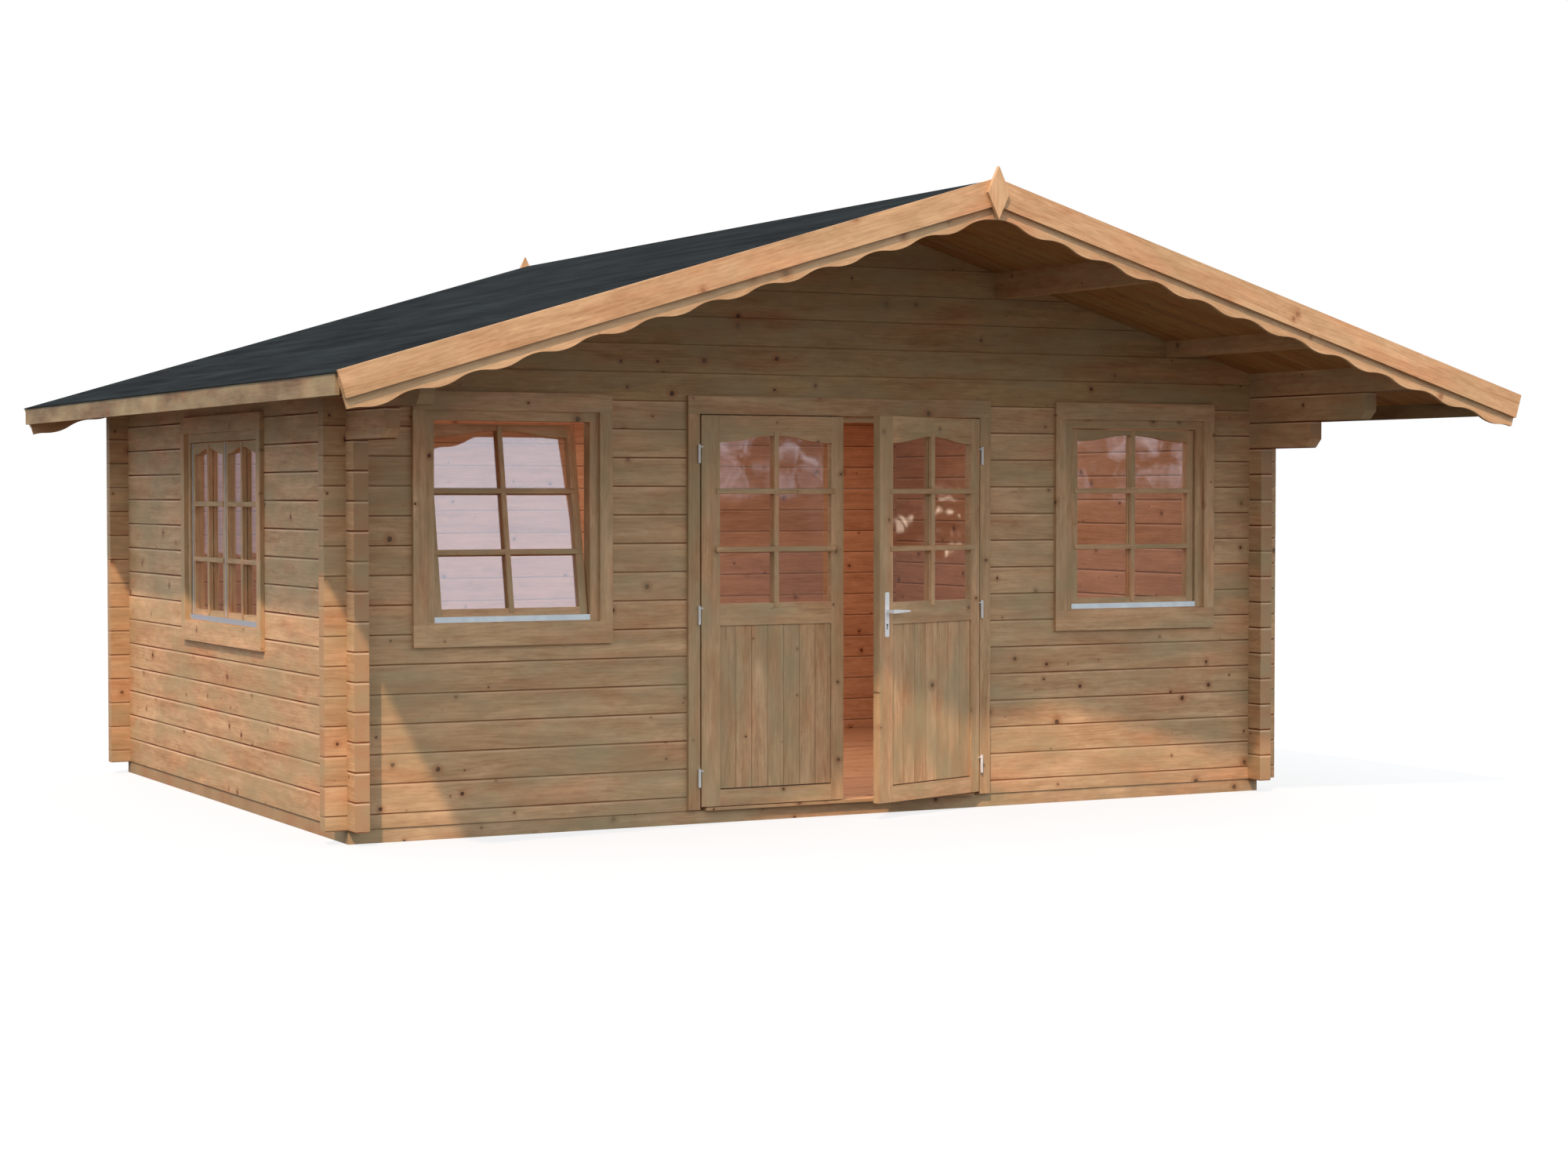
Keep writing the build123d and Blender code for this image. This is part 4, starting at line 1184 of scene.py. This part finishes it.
class CabinStage(bpy.types.Operator):
    """Set the floor, the light and the camera"""

    bl_idname = "cabin.stage"
    bl_label = "Stage"

    def execute(self, context):
        scene = context.scene
        scene.view_settings.view_transform = "Standard"
        reach, depth = 60.0, -0.0005

        def ground(bm):
            corners = ((-reach, -reach), (reach, -reach), (reach, reach), (-reach, reach))
            bm.faces.new([bm.verts.new((x, y, depth)) for x, y in corners])

        material, tree, shader = new_material("Stage floor", Roughness=0.9, Specular_IOR_Level=0.1)
        ray = put(tree, "ShaderNodeLightPath").outputs
        seen = sums(tree, "MAXIMUM", ray["Is Camera Ray"], ray["Is Transmission Ray"])
        shade = blend(tree, seen, (0.10, 0.10, 0.10, 1.0), (0.70, 0.70, 0.70, 1.0))
        wire(tree, shader, blend(tree, ray["Is Glossy Ray"], shade, (0.050, 0.034, 0.024, 1.0)))
        glow = put(tree, "ShaderNodeEmission", {"Color": (1.0, 1.0, 1.0, 1.0), "Strength": 1.0})
        inputs = {0: times(tree, ray["Is Camera Ray"], 0.80), 1: shader.outputs[0], 2: glow.outputs[0]}
        mixed = put(tree, "ShaderNodeMixShader", inputs)
        tree.links.new(mixed.outputs[0], tree.nodes["Material Output"].inputs["Surface"])
        floor = new_piece("stage_floor", ground, material)
        self.sky(scene)
        self.lamps(scene)
        self.camera(scene)
        return {"FINISHED"}

    def sky(self, scene):
        """A plain pale sky. Glass mirrors dark woods with pale gaps at the horizon, and a pale sky above."""
        world = bpy.data.worlds.new("Plain sky")
        scene.world = world
        world.use_nodes = True
        tree = world.node_tree
        tree.nodes.clear()
        ray = put(tree, "ShaderNodeLightPath").outputs
        direction = put(tree, "ShaderNodeTexCoord").outputs["Generated"]
        right, back, height = split(tree, direction)
        trees = streaks(tree, direction, (9.0, 9.0, 14.0), 4.0, 0.6)
        edge = weigh(tree, trees, 0.34, sums(tree, "SUBTRACT", height, 0.17))
        horizon = remap(tree, edge, 0.10, 0.20)
        wood = streaks(tree, direction, (24.0, 24.0, 24.0), 3.0, 0.6)
        dark = blend(tree, remap(tree, wood, 0.35, 0.65), (0.075, 0.045, 0.030, 1.0), (0.19, 0.125, 0.095, 1.0))

        # Pale gaps between the trees, above the ground
        gaps = streaks(tree, direction, (95.0, 95.0, 120.0), 5.0, 0.72)
        gaps = times(tree, remap(tree, gaps, 0.47, 0.67), remap(tree, height, -0.004, 0.009),
                     remap(tree, right, 0.80, 0.88, 1.0, 0.0), 0.95)
        dark = blend(tree, gaps, dark, (0.86, 0.80, 0.86, 1.0))

        # Warm round spots at the ground, to the right
        lights = put(tree, "ShaderNodeTexVoronoi", {"Vector": direction, "Scale": 185.0}).outputs
        spots = times(tree, remap(tree, lights["Distance"], 0.10, 0.42, 1.0, 0.0),
                      remap(tree, split(tree, lights["Color"])[0], 0.35, 0.9),
                      remap(tree, right, 0.84, 0.90), remap(tree, height, -0.006, 0.006, 1.0, 0.0))
        dark = blend(tree, spots, dark, (1.7, 1.30, 0.95, 1.0))

        # Paler behind the cabin, and another strength for the light that falls on it
        dark = blend(tree, remap(tree, back, 0.3, 0.6), dark, (0.36, 0.38, 0.45, 1.0))
        mirrored = blend(tree, horizon, dark, (0.92, 0.99, 1.13, 1.0))
        colour = blend(tree, ray["Is Glossy Ray"], (0.90, 0.96, 1.03, 1.0), mirrored)
        colour = blend(tree, ray["Is Camera Ray"], colour, (1.0, 1.0, 1.0, 1.0))
        seen = sums(tree, "MAXIMUM", ray["Is Camera Ray"], ray["Is Glossy Ray"])
        overhead = remap(tree, height, 0.0, 1.0, 0.95, 1.95)
        strength = put(tree, "ShaderNodeMix", {0: seen, 2: overhead, 3: 1.0}).outputs[0]
        sky = put(tree, "ShaderNodeBackground", {"Color": colour, "Strength": strength})
        put(tree, "ShaderNodeOutputWorld", {"Surface": sky.outputs[0]})

    def hold(self, scene, data, **values):
        """An object in the scene for a light or a camera."""
        holder = bpy.data.objects.new(data.name, data)
        for label, value in values.items():
            setattr(holder, label, value)
        scene.collection.objects.link(holder)
        return holder

    def lamps(self, scene):
        """A warm key from the upper front left and a plain light in the room."""
        key = bpy.data.lights.new("Key", "SUN")
        key.energy = 3.10
        key.angle = radians(1.6)
        key.color = (1.0, 0.695, 0.50)
        self.hold(scene, key, rotation_euler=Vector((0.89, 1.0, -1.63)).to_track_quat("-Z", "Y").to_euler())
        room = bpy.data.lights.new("Room", "AREA")
        room.shape = "RECTANGLE"
        room.size, room.size_y = 3.6, 2.4
        room.energy = 58.0
        room.color = (1.0, 0.93, 0.86)
        self.hold(scene, room, location=(0.0, -0.2, 2.20))

    def camera(self, scene):
        """The camera at the photograph's own place."""
        camera = bpy.data.cameras.new("Camera")
        camera.lens = 65.02
        camera.sensor_width = 36.0
        turn = (radians(88.285), 0.0, radians(-27.74))
        scene.camera = self.hold(scene, camera, location=(-6.715, -14.066, 1.576), rotation_euler=turn)


class CabinPanel(bpy.types.Panel):
    """Lists the cabin's sizes, colours and steps"""

    bl_idname = "CABIN_PT_dressing"
    bl_label = "Log cabin"
    bl_space_type = "VIEW_3D"
    bl_region_type = "UI"
    bl_category = "Log cabin"

    def draw(self, context):
        for settings in (context.scene.cabin_boards, context.scene.cabin_bars, context.scene.cabin_finish):
            box = self.layout.box()
            for name in settings.__annotations__:
                box.prop(settings, name)
        for step in STEPS:
            self.layout.operator(step.bl_idname)


SETTINGS = (CabinBoards, CabinBars, CabinFinish)
STEPS = (
    CabinFinishes, CabinRoofBoards, CabinFloorBoards, CabinDoorBoards, CabinWindowBars, CabinSideWindow,
    CabinDoorBars, CabinFastenings, CabinDoorBolts, CabinStage,
)


def register():
    for made in (*SETTINGS, *STEPS, CabinPanel):
        bpy.utils.register_class(made)
    bpy.types.Scene.cabin_boards = PointerProperty(type=CabinBoards)
    bpy.types.Scene.cabin_bars = PointerProperty(type=CabinBars)
    bpy.types.Scene.cabin_finish = PointerProperty(type=CabinFinish)


def unregister():
    del bpy.types.Scene.cabin_finish
    del bpy.types.Scene.cabin_bars
    del bpy.types.Scene.cabin_boards
    for made in reversed((*SETTINGS, *STEPS, CabinPanel)):
        bpy.utils.unregister_class(made)


def main():
    register()
    for step in STEPS:
        area, name = step.bl_idname.split(".")
        getattr(getattr(bpy.ops, area), name)()


if __name__ == "__main__":
    main()
